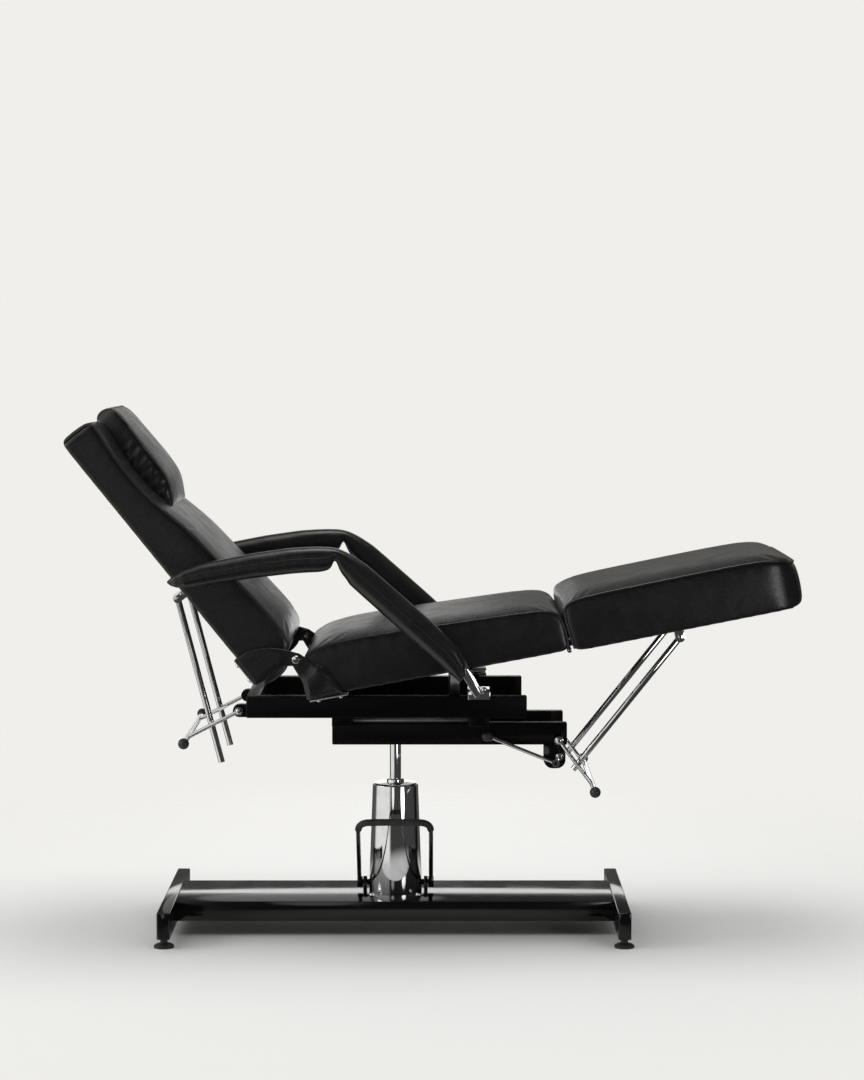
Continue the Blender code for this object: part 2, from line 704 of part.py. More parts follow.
def build_frames():
    boss_end = HANDLE_Y - HANDLE_EYE_HALF - PIN_GAP
    lower = ring_frame("lower_frame", LOWER_X, LOWER_HALF_WIDTH, LOWER_Z)
    root = LOWER_HALF_WIDTH - FRAME_TUBE / 2
    bosses = [pin("handle_boss", FRONT_PIVOT, side * root, side * boss_end, BOSS_RADIUS, 20)
              for side_name, side in SIDES]
    place(unite(lower, *bosses, *handle_pins(FRONT_PIVOT, boss_end - 0.01)), "carriage", "paint")

    upper = ring_frame("upper_frame", UPPER_X, UPPER_HALF_WIDTH, UPPER_Z)
    lugs = []
    for side_name, side in SIDES:
        top, low = REAR_PIVOT[1] + LUG_RADIUS, REAR_PIVOT[1] - LUG_RADIUS
        root = UPPER_X[0] + 0.006
        outline = [(root, low), (root, top)] + arc(REAR_PIVOT, LUG_RADIUS, 90, 270, 8)
        lugs.append(side_plate("handle_lug", outline, side * (boss_end - LUG_THICKNESS), side * boss_end))
    place(unite(upper, *lugs, *handle_pins(REAR_PIVOT, boss_end - 0.01)), "carriage", "paint")

    for end_name, x in zip(("rear", "front"), BEARER_X):
        half = BEARER_WIDTH / 2
        reach = UPPER_HALF_WIDTH - FRAME_TUBE / 2
        low, high = LOWER_Z[1] + SEAT_GAP, UPPER_Z[0] - SEAT_GAP
        bearer = block("bearer_" + end_name, (x - half, -reach, low), (x + half, reach, high), FRAME_EDGE)
        place(bearer, "carriage", "paint")

    top = LOWER_Z[1] + SEAT_GAP
    plate = block("mount_plate",
                  (BEARER_X[0] + BEARER_WIDTH / 2 + SEAT_GAP, -MOUNT_HALF_WIDTH, top),
                  (BEARER_X[1] - BEARER_WIDTH / 2 - SEAT_GAP, MOUNT_HALF_WIDTH, top + MOUNT_PLATE))
    hub = bar("hub", (0, 0, LOWER_Z[0]), (0, 0, top + MOUNT_PLATE / 2), HUB_RADIUS, 28)
    socket = bar("ram_socket", (0, 0, LOWER_Z[0] - 0.02), (0, 0, LOWER_Z[1] - HUB_ROOF + SEAT_GAP),
                 RAM_RADIUS + PIN_GAP, 24)
    place(cut(unite(plate, hub), socket), "carriage", "steel")


def build_lock_lever():
    bottom = LEVER_PIVOT[1] - LEVER_BRACKET_RADIUS * 0.65
    top = LOWER_Z[0] - SEAT_GAP
    low_x, high_x = LEVER_BRACKET_X
    outline = [(high_x, top), (low_x, top), (low_x, bottom + LEVER_BRACKET_RADIUS)]
    round_z = bottom + LEVER_BRACKET_RADIUS
    outline += arc((low_x + LEVER_BRACKET_RADIUS, round_z), LEVER_BRACKET_RADIUS, 180, 270, 5)[1:]
    outline += arc((high_x - LEVER_BRACKET_RADIUS, round_z), LEVER_BRACKET_RADIUS, 270, 350, 5)
    inner, outer = LEVER_BRACKET_Y
    bracket = side_plate("lever_bracket", outline, -inner, -outer)
    hub_inner = outer + PIN_GAP
    hub_outer = LEVER_HUB_Y + LEVER_HUB_HALF
    pin_end = hub_outer - 0.0005
    lever_pin = pin("lever_pin", LEVER_PIVOT, -outer + 0.01, -pin_end, LEVER_PIN_RADIUS, 12)
    place(unite(bracket, lever_pin), "carriage", "paint")

    lever = pin("lock_lever", LEVER_PIVOT, -hub_inner, -hub_outer, LEVER_HUB_RADIUS, 20)
    start = Vector((LEVER_PIVOT[0], -LEVER_HUB_Y, LEVER_PIVOT[1]))
    end = Vector((LEVER_KNOB[0], -LEVER_KNOB_Y, LEVER_KNOB[1]))
    run = (end - start).normalized()
    rod = bar("lever_rod", start + run * LEVER_HUB_RADIUS * 0.6, end, LEVER_RADIUS, 12)
    hole = pin("lever_hole", LEVER_PIVOT, -outer + 0.01, -LEVER_KNOB_Y, LEVER_PIN_RADIUS + PIN_GAP, 12)
    place(cut(unite(lever, rod), hole), "lever", "chrome")
    place(knob("lock_knob", end + run * SEAT_GAP, run), "lever", "plastic")


def knob(name, start, direction):
    """A ball knob with a short neck, turned along a bar's end."""
    centre = KNOB_LENGTH - KNOB_RADIUS
    ball = []
    for i in range(7):
        turn = math.radians(90 - 22 * i)
        ball.append((KNOB_RADIUS * math.cos(turn), centre + KNOB_RADIUS * math.sin(turn)))
    profile = ball + [(KNOB_NECK_RADIUS, 0.001), (KNOB_NECK_RADIUS * 0.9, 0.0), (0.0, 0.0)]
    turn = Vector((0, 0, 1)).rotation_difference(Vector(direction)).to_matrix().to_4x4()
    return turned(name, profile, Matrix.Translation(start) @ turn, 16)


# Handles and rods

def build_handle(name, pivot, bar_point, loop_ends, knob_name):
    """A release handle: cross bar, two arms on eyes, and a welded loop round each support rod."""
    start = Vector((pivot[0], 0.0, pivot[1]))
    end = Vector((bar_point[0], 0.0, bar_point[1]))
    run = (end - start).normalized()
    handle = pin(name, bar_point, -HANDLE_BAR_HALF, HANDLE_BAR_HALF, HANDLE_BAR_RADIUS, 12)
    pieces = []
    holes = []
    inside = ROD_Y - ROD_RADIUS - LOOP_CLEARANCE - LOOP_WIRE_RADIUS
    for side_name, side in SIDES:
        arm_y = Vector((0.0, side * HANDLE_Y, 0.0))
        inner_y = Vector((0.0, side * inside, 0.0))
        arm_start = start + arm_y + run * HANDLE_EYE_RADIUS * 0.5
        pieces.append(bar("handle_arm", arm_start, end + arm_y, HANDLE_ARM_RADIUS, 12))
        eye_in, eye_out = HANDLE_Y - HANDLE_EYE_HALF, HANDLE_Y + HANDLE_EYE_HALF
        pieces.append(pin("handle_eye", pivot, side * eye_in, side * eye_out, HANDLE_EYE_RADIUS, 20))
        near, far = start + run * loop_ends[0], start + run * loop_ends[1]
        loop = [near + arm_y, near + inner_y, far + inner_y, far + arm_y]
        pieces.append(tube("handle_loop", loop, LOOP_WIRE_RADIUS, 1))
        holes.append(pin("eye_hole", pivot, side * (eye_in - 0.004), side * (eye_out + 0.004),
                         HANDLE_PIN_RADIUS + PIN_GAP, 12))
    place(cut(unite(handle, *pieces), *holes), name, "chrome")
    for side_name, side in SIDES:
        tip = end + Vector((0.0, side * (HANDLE_BAR_HALF + SEAT_GAP), 0.0))
        place(knob(knob_name + "_" + side_name, tip, (0, side, 0)), name, "plastic")


def clevis(name, slant, top, board_face, side):
    """A forked bracket under a board: base plate, two rounded cheeks and the pin that a rod hangs on."""
    point = Vector((top[0], 0.0, top[1])) - slant.origin
    along, out = point.dot(slant.along), point.dot(slant.out)
    inner = ROD_RADIUS + CLEVIS_GAP
    outer = inner + CLEVIS_SHEET
    face = board_face - SEAT_GAP
    middle = side * ROD_Y
    base = box(name, (CLEVIS_LENGTH, CLEVIS_BASE, CLEVIS_SHEET),
               slant.flat(along, face - CLEVIS_SHEET / 2, middle))
    root = face - CLEVIS_SHEET / 2
    outline = [(along + CLEVIS_EDGE, root), (along - CLEVIS_EDGE, root)]
    outline += arc((along, out), CLEVIS_EDGE, 180, 360, 8)
    outline = [slant.side(*spot) for spot in outline]
    cheeks = [side_plate("clevis_cheek", outline, middle + way * inner, middle + way * outer)
              for way in (-1, 1)]
    clevis_pin = pin("clevis_pin", top, middle - outer - CLEVIS_PIN_END, middle + outer + CLEVIS_PIN_END,
                     ROD_PIN_RADIUS, 12)
    return unite(base, *cheeks, clevis_pin)


def build_rods(prefix, body, carrier, slant, top, pivot, bar_point, board_face):
    """Two rods that hang on a section and pass through the loops of its release handle."""
    start = Vector((pivot[0], 0.0, pivot[1]))
    arm = (Vector((bar_point[0], 0.0, bar_point[1])) - start).normalized()
    run = (start + arm * ROD_CROSSING - Vector((top[0], 0.0, top[1]))).normalized()
    for side_name, side in SIDES:
        place(clevis(prefix + "_bracket_" + side_name, slant, top, board_face, side), carrier, "steel")
        start = Vector((top[0], side * ROD_Y, top[1]))
        head = start - run * CLEVIS_EDGE * 0.8
        rod = bar(prefix + "_" + side_name, head, start + run * ROD_LENGTH, ROD_RADIUS, 20)
        hole = pin("rod_hole", top, side * ROD_Y - 0.02, side * ROD_Y + 0.02, ROD_PIN_RADIUS + PIN_GAP, 12)
        place(cut(rod, hole), body, "chrome")


# Padded sections

# Side views as shares of a section's length and depth, forwards along the underside and back along the top
SEAT_SIDE = [
    (0.0097, 0), (0.1618, 0), (0.4854, 0), (0.8091, 0), (0.979, 0), (0.9992, 0.0502), (1, 0.251),
    (0.996, 0.5021), (0.9822, 0.7113), (0.9547, 0.8326), (0.89, 0.8828), (0.6796, 0.9247),
    (0.4045, 0.9749), (0.2362, 1), (0.1003, 0.9749), (0.0291, 0.8787), (-0.0016, 0.6695),
    (-0.0049, 0.2929), (-0.0032, 0.0502),
]
LEG_SIDE = [
    (0.0183, 0), (0.1833, 0), (0.4766, 0), (0.7699, 0), (0.9716, 0), (0.9963, 0.0484), (1, 0.3226),
    (0.9982, 0.6048), (0.9863, 0.8387), (0.9441, 0.9476), (0.7883, 1), (0.5133, 0.996),
    (0.2566, 0.9879), (0.0917, 0.9798), (0.0147, 0.9395), (-0.0183, 0.8306), (-0.0202, 0.6855),
    (-0.0128, 0.4435), (-0.0037, 0.2016), (0, 0.0403),
]
BACK_SIDE = [
    (0.0028, -0.069), (0.1702, -0.069), (0.4255, -0.069), (0.7092, -0.069), (0.9787, -0.069),
    (0.9979, -0.0172), (1, 0.2586), (0.9993, 0.6034), (0.9915, 0.8621), (0.9574, 1), (0.8511, 0.9957),
    (0.6099, 0.8707), (0.4681, 0.8103), (0.3688, 0.6552), (0.2553, 0.5647), (0.1277, 0.5948),
    (0.0284, 0.6767), (0.0014, 0.6422), (-0.0057, 0.4741), (-0.0064, 0.1724), (-0.0057, -0.0345),
]
PILLOW_SIDE = [
    (0.0146, 0.5909), (0.1752, 0.5606), (0.438, 0.5303), (0.6934, 0.5455), (0.9489, 0.6364),
    (1.0, 0.6705), (0.9708, 0.7462), (0.8869, 0.8182), (0.781, 0.8902), (0.4964, 0.9432),
    (0.2409, 0.9788), (0.0657, 1.0), (0.0073, 0.9583), (-0.0146, 0.8258), (-0.0182, 0.697),
]


def sized(side_view, length, depth):
    return [(along * length, out * depth) for along, out in side_view]


def board(name, slant, start, end, low, thickness):
    """A flat board with rounded corners, under a cushion."""
    half_length = (end - start) / 2
    x, y = half_length - BOARD_CORNER, BOARD_HALF_WIDTH - BOARD_CORNER
    outline = []
    for centre, turn in (((x, y), 0), ((-x, y), 90), ((-x, -y), 180), ((x, -y), 270)):
        outline += arc(centre, BOARD_CORNER, turn, turn + 90, 5)
    return drawn(name, [outline], thickness, slant.flat(start + half_length, low + thickness / 2))


def build_seat():
    span = BOARD_MARGIN, SEAT_LENGTH - BOARD_MARGIN
    place(board("seat_board", SEAT, *span, 0.0, SEAT_BOARD), "carriage", "plywood")
    soft = cushion("seat_cushion", SEAT, sized(SEAT_SIDE, SEAT_LENGTH, SEAT_DEPTH), CUSHION_HALF_WIDTH, CROWN)
    place(cut(soft, board_pocket(SEAT, *span, 0.0, SEAT_BOARD)), "carriage", "leather")

    foot = UPPER_Z[1] + SEAT_GAP
    tops = []
    for x in RISER_X:
        along = (x - SEAT_ORIGIN[0]) / SEAT.along.x
        tops.append(SEAT_ORIGIN[1] + along * SEAT.along.z - SEAT_GAP)
    low_x, high_x = RISER_X
    sheet = RISER_SHEET
    channel = [(low_x, foot), (high_x, foot), (high_x, foot + sheet), (low_x + sheet, foot + sheet),
               (low_x + sheet, tops[0] - sheet), (high_x, tops[1] - sheet), (high_x, tops[1]),
               (low_x, tops[0])]
    half = UPPER_HALF_WIDTH - FRAME_TUBE + RISER_REST
    place(side_plate("seat_riser", channel, -half, half), "carriage", "paint")


def build_leg():
    span = BOARD_MARGIN, LEG_LENGTH - BOARD_MARGIN
    place(board("leg_board", LEG, *span, 0.0, LEG_BOARD), "leg", "plywood")
    soft = cushion("leg_cushion", LEG, sized(LEG_SIDE, LEG_LENGTH, LEG_DEPTH), CUSHION_HALF_WIDTH, CROWN)
    place(cut(soft, board_pocket(LEG, *span, 0.0, LEG_BOARD)), "leg", "leather")


def stud_point():
    """Where the armrests' rear ends meet the back, in the middle of its board."""
    rear = Vector((ARM_REAR[0], 0.0, ARM_REAR[1])) - BACK.origin
    return BACK.side(rear.dot(BACK.along), BACK_REAR + BACK_BOARD / 2)


def build_back():
    span = BOARD_MARGIN, BACK_LENGTH - BOARD_MARGIN
    place(board("back_board", BACK, *span, BACK_REAR, BACK_BOARD), "back", "plywood")
    soft = cushion("back_cushion", BACK, sized(BACK_SIDE, BACK_LENGTH, BACK_DEPTH), CUSHION_HALF_WIDTH, CROWN)
    hollow = soft.copy()
    hollow.name = "pillow_hollow"
    PARTS.objects.link(hollow)
    swell = hollow.modifiers.new("clearance", "DISPLACE")
    swell.strength = SEAT_GAP * 1.5
    swell.mid_level = 0.0
    stud_holes = [pin("stud_hole", stud_point(), side * (BOARD_HALF_WIDTH - POCKET_LIP),
                      side * (CUSHION_HALF_WIDTH + POCKET_LIP), STUD_RADIUS + PIN_GAP)
                  for side_name, side in SIDES]
    pocket = board_pocket(BACK, *span, BACK_REAR, BACK_BOARD)
    place(cut(soft, pocket, *stud_holes), "back", "leather")

    outline = sized(PILLOW_SIDE, PILLOW_LENGTH, PILLOW_DEPTH)
    pillow = cushion("head_pillow", BACK, outline, PILLOW_HALF_WIDTH, PILLOW_CROWN)
    place(cut(pillow, hollow), "back", "leather")


def build_ears():
    """Leather-wrapped hinge plates at the sides, lapped over each other on the hinge bolts."""
    turn_x, turn_z = BACK_HINGE
    seat_outline = arc((turn_x, turn_z), EAR_RADIUS, 60, 235, 9)
    seat_outline += [(-0.2104, 0.6205), (-0.2010, 0.5800), (-0.1900, 0.5789), (-0.1137, 0.5960),
                     (-0.1464, 0.6432), (-0.1630, 0.6578), (-0.1835, 0.6660)]
    flat = BACK_REAR - EAR_FLANGE
    back_outline = [(-0.089, flat), (-0.0865, 0.020), (-0.078, 0.042), (-0.061, 0.068), (-0.037, 0.092)]
    back_outline = [(HINGE_ALONG + along, out) for along, out in back_outline]
    back_outline += arc((HINGE_ALONG, HINGE_OUT), EAR_RADIUS, 130, -60, 9)
    back_outline += [(HINGE_ALONG + along, out) for along, out in
                     ((-0.0065, 0.066), (-0.0115, 0.044), (-0.0115, 0.024), (-0.0075, 0.008), (-0.0115, flat))]
    back_side = [BACK.side(along, out) for along, out in back_outline]
    for side_name, side in SIDES:
        seat_in = SEAT_EAR_Y
        seat_out = seat_in + EAR_THICKNESS
        back_in = seat_out + PIN_GAP
        back_out = back_in + EAR_THICKNESS
        bolt_hole = HINGE_BOLT_RADIUS + PIN_GAP

        seat_ear = side_plate("seat_ear_" + side_name, seat_outline, side * seat_in, side * seat_out)
        flange_width = seat_in + EAR_FLANGE - EAR_FLANGE_Y
        flange_y = side * (EAR_FLANGE_Y + flange_width / 2)
        flange = box("ear_flange", (0.074, flange_width, EAR_FLANGE),
                     SEAT.flat(0.052, -EAR_FLANGE / 2 - SEAT_GAP, flange_y))
        hole = pin("bolt_hole", BACK_HINGE, side * (seat_in - 0.01), side * (seat_out + 0.01), bolt_hole)
        place(cut(unite(seat_ear, flange), hole), "carriage", "leather")

        back_ear = side_plate("back_ear_" + side_name, back_side, side * back_in, side * back_out)
        flange_width = back_in + EAR_FLANGE - EAR_FLANGE_Y
        flange_y = side * (EAR_FLANGE_Y + flange_width / 2)
        flange = box("ear_flange", (0.070, flange_width, EAR_FLANGE),
                     BACK.flat(HINGE_ALONG - 0.050, BACK_REAR - EAR_FLANGE / 2 - SEAT_GAP, flange_y))
        hole = pin("bolt_hole", BACK_HINGE, side * (back_in - 0.01), side * (back_out + 0.01), bolt_hole)
        place(cut(unite(back_ear, flange), hole), "back", "leather")

        head = back_out + PIN_GAP
        head_top = head + HINGE_BOLT_HEAD_DEPTH
        profile = [(0.0, head_top), (HINGE_BOLT_HEAD * 0.8, head_top), (HINGE_BOLT_HEAD, head),
                   (HINGE_BOLT_RADIUS, head), (HINGE_BOLT_RADIUS, seat_in), (0.0, seat_in)]
        outwards = Matrix.Rotation(math.radians(-90 * side), 4, "X")
        bolt = turned("hinge_bolt_" + side_name, profile,
                      Matrix.Translation((turn_x, 0.0, turn_z)) @ outwards, 18)
        place(bolt, "carriage", "chrome")


def build_leg_hinge():
    """Two leaves under the boards, knuckles in between and one pin through them."""
    half = LEG_LEAF_HALF_WIDTH
    split = LEG_KNUCKLE_SPLIT
    knuckle = Vector((LEG_HINGE[0], 0, LEG_HINGE[1]))
    seat_u = (knuckle - SEAT.origin).dot(SEAT.along)
    leg_u = (knuckle - LEG.origin).dot(LEG.along)
    low = -LEG_LEAF / 2 - SEAT_GAP

    leaf = box("seat_leaf", (0.040, half * 2, LEG_LEAF), SEAT.flat(seat_u - 0.034, low))
    pieces = []
    for side_name, side in SIDES:
        width = half - split - SEAT_GAP
        middle = side * (split + SEAT_GAP + width / 2)
        tab = box("leaf_tab", (0.018, width, LEG_LEAF * 0.9), SEAT.flat(seat_u - 0.0085, low, middle))
        ends = side * (split + SEAT_GAP), side * half
        pieces += [tab, pin("leaf_knuckle", LEG_HINGE, *ends, LEG_KNUCKLE_RADIUS, 14)]
    hole = pin("knuckle_hole", LEG_HINGE, -half - 0.01, half + 0.01, LEG_PIN_RADIUS + PIN_GAP, 12)
    place(cut(unite(leaf, *pieces), hole), "carriage", "chrome")

    leg_leaf = box("leg_leaf", (0.040, half * 2, LEG_LEAF), LEG.flat(leg_u + 0.038, low))
    tab = box("leaf_tab", (0.026, (split - SEAT_GAP) * 2, LEG_LEAF * 0.9), LEG.flat(leg_u + 0.0125, low))
    barrel = pin("leaf_knuckle", LEG_HINGE, -split + SEAT_GAP, split - SEAT_GAP, LEG_KNUCKLE_RADIUS, 14)
    hinge_pin = pin("leaf_pin", LEG_HINGE, -half, half, LEG_PIN_RADIUS, 12)
    place(unite(leg_leaf, tab, barrel, hinge_pin), "leg", "chrome")


def build_arms():
    bend_x, bend_z = ARM_BEND
    foot = Vector((ARM_FOOT[0] - bend_x, 0.0, ARM_FOOT[1] - bend_z))
    reach = foot.length
    run = foot.normalized()
    slope = math.degrees(math.atan2(run.z, run.x))
    knuckle = ARM_KNUCKLE
    lower_marks = [(-0.93, 0.40, 0.9), (-0.65, 0.78, 0.97), (0.0, 1.0, 1.0)]
    lower = [(knuckle * step, knuckle * share, narrow) for step, share, narrow in lower_marks]
    lower += [(reach * 0.3, 0.0285, 1.0), (reach * 0.7, 0.0290, 1.0), (reach - 0.035, 0.0275, 1.0),
              (reach, 0.0205, 0.97), (reach + 0.019, 0.0115, 0.82)]
    lower_stations = []
    for along, half, narrow in lower:
        sink = max(0.0, 0.0290 - half) if along > reach / 2 else 0.0
        lower_stations.append((bend_x + run.x * along + run.z * sink, bend_z + run.z * along - run.x * sink,
                               half, slope, narrow))
    upper_stations = [(-0.512, 0.8560, 0.009, 20, 0.72), (-0.504, 0.8580, 0.0165, 20, 0.90),
                      (-0.484, 0.8635, 0.0215, 14, 1.0), (-0.440, 0.8735, 0.0235, 11, 1.0),
                      (-0.327, 0.8935, 0.0255, 9, 1.0), (-0.213, 0.9075, 0.0265, 5, 1.0),
                      (-0.145, 0.9090, knuckle, 0, 1.0), (bend_x + knuckle * 0.3, bend_z, knuckle, 0, 1.0)]
    notch_turn = math.radians(180 + ARM_NOTCH_ANGLE)
    notch_reach = knuckle * 3
    notch_x = bend_x + notch_reach * math.cos(notch_turn)
    notch_z = bend_z + notch_reach * math.sin(notch_turn)
    hollow = arc(ARM_BEND, ARM_KNUCKLE_HOLLOW, 85, 180 + ARM_NOTCH_ANGLE, 18)
    hollow += [(notch_x, notch_z), (bend_x + notch_reach, bend_z - notch_reach),
               (bend_x + notch_reach, bend_z + notch_reach), (hollow[0][0], bend_z + notch_reach)]
    head = arc(ARM_BEND, knuckle, slope + 90, slope + 270, 16)
    clear = knuckle * 2.5
    tangent = Vector((-run.z, 0.0, run.x)) * clear
    rear = run * clear
    centre = Vector((bend_x, 0.0, bend_z))
    for corner in (centre - tangent, centre - tangent - rear, centre + tangent - rear, centre + tangent):
        head.append((corner.x, corner.z))
    for side_name, side in SIDES:
        inner = side * ARM_INNER_Y
        outer = side * (ARM_INNER_Y + ARM_WIDTH)
        beyond = side * 0.02
        lower_arm = pad("arm_lower_pad_" + side_name, lower_stations, side)
        bore = pin("arm_bore", ARM_FOOT, inner - beyond, inner + side * (ARM_PIN_REACH + 0.001),
                   ARM_PIN_RADIUS + PIN_GAP)
        round_head = side_plate("round_head", head, inner - beyond, outer + beyond)
        place(cut(lower_arm, bore, round_head), "arm_lower_" + side_name, "leather")

        upper_arm = pad("arm_upper_pad_" + side_name, upper_stations, side)
        knuckle_cut = side_plate("knuckle_cut", hollow, inner - beyond, outer + beyond)
        place(cut(upper_arm, knuckle_cut), "arm_upper_" + side_name, "leather")

        build_arm_bracket(side_name, side)
        build_arm_stud(side_name, side)


def build_arm_bracket(side_name, side):
    foot_z = UPPER_Z[1] + SEAT_GAP
    low_x, high_x = ARM_BRACKET_FOOT_X
    root = Vector(((low_x + high_x) / 2, foot_z + ARM_BRACKET_FOOT / 2))
    strap = (root - Vector(ARM_FOOT)).normalized()
    across = Vector((-strap.y, strap.x)) * ARM_BRACKET_RADIUS * 0.8
    lean = math.degrees(math.atan2(across.y, across.x))
    outline = [tuple(root - across), tuple(root + across)]
    outline += arc(ARM_FOOT, ARM_BRACKET_RADIUS, lean, lean + 180, 9)
    inner = side * ARM_BRACKET_Y
    outer = side * (ARM_BRACKET_Y + ARM_BRACKET_SHEET)
    upright = side_plate("arm_bracket_" + side_name, outline, inner, outer)
    rail = UPPER_HALF_WIDTH - FRAME_TUBE
    low_y, high_y = sorted((side * rail, side * (ARM_BRACKET_Y + ARM_BRACKET_SHEET / 2)))
    foot = block("bracket_foot", (low_x, low_y, foot_z), (high_x, high_y, foot_z + ARM_BRACKET_FOOT))
    pin_end = side * (ARM_INNER_Y + ARM_PIN_REACH)
    arm_pin = pin("arm_pin", ARM_FOOT, side * (ARM_BRACKET_Y + 0.001), pin_end, ARM_PIN_RADIUS)
    place(unite(upright, foot, arm_pin), "carriage", "steel")


def build_arm_stud(side_name, side):
    """The stud in the back board's edge that the arm's rear end rides on."""
    start = BOARD_HALF_WIDTH + SEAT_GAP
    end = ARM_INNER_Y - STUD_GAP
    profile = [(0.0, end), (STUD_RADIUS, end), (STUD_RADIUS, start), (0.0, start)]
    outwards = Matrix.Rotation(math.radians(-90 * side), 4, "X")
    x, z = stud_point()
    centre = Matrix.Translation((x, 0.0, z))
    place(turned("arm_stud_" + side_name, profile, centre @ outwards, 16), "back", "steel")


build_base()
build_pump()
build_pedal()
build_frames()
build_lock_lever()
build_seat()
build_leg()
build_back()
build_ears()
build_leg_hinge()
build_rods("back_rod", "back_rods", "back", BACK, BACK_ROD_TOP, REAR_PIVOT, REAR_BAR, BACK_REAR)
build_rods("leg_rod", "leg_rods", "leg", LEG, LEG_ROD_TOP, FRONT_PIVOT, FRONT_BAR, 0.0)
build_handle("rear_handle", REAR_PIVOT, REAR_BAR, REAR_LOOP, "rear_knob")
build_handle("front_handle", FRONT_PIVOT, FRONT_BAR, FRONT_LOOP, "front_knob")
build_arms()

# The whole chair hangs on one empty, so that the origin lies under the middle of its length.
PIVOTS["base"].location.x = PUMP_X
bpy.context.view_layer.update()
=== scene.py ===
import math

import bmesh
import bpy
import numpy as np
from mathutils import Matrix, Vector
from mathutils.bvhtree import BVHTree
from mathutils.kdtree import KDTree


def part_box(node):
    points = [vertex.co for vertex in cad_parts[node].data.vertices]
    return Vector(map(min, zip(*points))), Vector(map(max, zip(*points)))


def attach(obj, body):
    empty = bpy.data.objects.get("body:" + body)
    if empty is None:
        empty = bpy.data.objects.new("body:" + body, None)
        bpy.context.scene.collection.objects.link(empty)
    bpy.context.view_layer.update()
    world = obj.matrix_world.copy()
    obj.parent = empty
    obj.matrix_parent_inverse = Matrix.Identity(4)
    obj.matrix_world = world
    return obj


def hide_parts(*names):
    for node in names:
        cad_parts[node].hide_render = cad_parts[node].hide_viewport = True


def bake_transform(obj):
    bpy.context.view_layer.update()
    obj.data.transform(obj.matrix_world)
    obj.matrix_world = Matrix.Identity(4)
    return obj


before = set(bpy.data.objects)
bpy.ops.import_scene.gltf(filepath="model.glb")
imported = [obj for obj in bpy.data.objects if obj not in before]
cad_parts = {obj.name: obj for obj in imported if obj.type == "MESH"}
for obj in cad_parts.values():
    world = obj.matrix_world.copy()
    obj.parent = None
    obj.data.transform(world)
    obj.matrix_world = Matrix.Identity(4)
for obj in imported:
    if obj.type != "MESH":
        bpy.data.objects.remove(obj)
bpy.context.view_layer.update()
scene = bpy.context.scene
SIDES = (("left", -1), ("right", 1))
PUMP_X = -0.0934                # the column's axis
HINGE_X, HINGE_Z = PUMP_X - 0.2256, 0.6745
SWELL_STEPS = 20                # frames of a cloth run
NEAR_EARS_Y = 0.2878            # inner face of the hinge ears
ROUND_FACES = math.radians(36)  # faces that meet at less than this are shaded as one


class Slant:
    """A padded section's own axes in the side view: along it, and out of its face."""

    def __init__(self, x, z, angle):
        turn = math.radians(angle)
        self.origin = Vector((x, 0.0, z))
        self.along = Vector((math.cos(turn), 0.0, math.sin(turn)))
        self.out = Vector((-self.along.z, 0.0, self.along.x))

    def at(self, along, out, y=0.0):
        return self.origin + self.along * along + self.out * out + Vector((0.0, y, 0.0))


SEAT = Slant(PUMP_X - 0.200, 0.5813, angle=10.5)
LEG = Slant(PUMP_X + 0.41897, 0.69104, angle=11.2)
BACK_ANGLE = 51.1
RECLINE = math.radians(BACK_ANGLE)
HINGE_ALONG, HINGE_OUT = 0.725, 0.099   # the hinge's place on the back
BACK = Slant(HINGE_X - HINGE_ALONG * math.cos(RECLINE) - HINGE_OUT * math.sin(RECLINE),
             HINGE_Z + HINGE_ALONG * math.sin(RECLINE) - HINGE_OUT * math.cos(RECLINE),
             angle=-BACK_ANGLE)


# Shader maths

class Shade:
    """A socket of a material; sums on it add their nodes."""

    def __init__(self, tree, socket=None):
        self.tree = tree
        self.socket = socket

    def node(self, kind, settings, inputs, output=0):
        made = self.tree.nodes.new(kind)
        for name, value in settings.items():
            setattr(made, name, value)
        for name, value in inputs.items():
            if isinstance(value, Shade):
                self.tree.links.new(value.socket, made.inputs[name])
            else:
                made.inputs[name].default_value = value
        return Shade(self.tree, made.outputs[output] if made.outputs else None)

    def maths(self, operation, *values):
        return self.node("ShaderNodeMath", {"operation": operation}, dict(enumerate(values)))

    def __add__(self, other):
        return self.maths("ADD", self, other)

    def __sub__(self, other):
        return self.maths("SUBTRACT", self, other)

    def __rsub__(self, other):
        return self.maths("SUBTRACT", other, self)

    def __mul__(self, other):
        return self.maths("MULTIPLY", self, other)

    def between(self, low, high):
        """0 below low and 1 above high, smoothly."""
        return self.node("ShaderNodeMapRange", {"interpolation_type": "SMOOTHSTEP"},
                         {"Value": self, "From Min": low, "From Max": high})

    def noise(self, scale, detail=2.0, roughness=0.5, distortion=0.0):
        return self.node("ShaderNodeTexNoise", {}, {"Vector": self, "Scale": scale, "Detail": detail,
                                                    "Roughness": roughness, "Distortion": distortion})

    def cells(self, scale, feature="DISTANCE_TO_EDGE"):
        return self.node("ShaderNodeTexVoronoi", {"feature": feature}, {"Vector": self, "Scale": scale})

    def stretched(self, x, y, z):
        return self.node("ShaderNodeMapping", {}, {"Vector": self, "Scale": (x, y, z)})

    def tint(self, low, high):
        """A colour between two, by this value."""
        return self.node("ShaderNodeMix", {"data_type": "RGBA"},
                         {"Factor": self, 6: (*low, 1.0), 7: (*high, 1.0)}, 2)

    def relief(self, strength=1.0):
        """Heights in metres as a bump."""
        return self.node("ShaderNodeBump", {}, {"Height": self, "Strength": strength, "Distance": 1.0})


def new_material(name):
    made = bpy.data.materials.new(name)
    made.use_nodes = True
    tree = made.node_tree
    tree.nodes.clear()
    start = Shade(tree)
    place = start.node("ShaderNodeTexCoord", {}, {}, "Object")
    return made, start, place


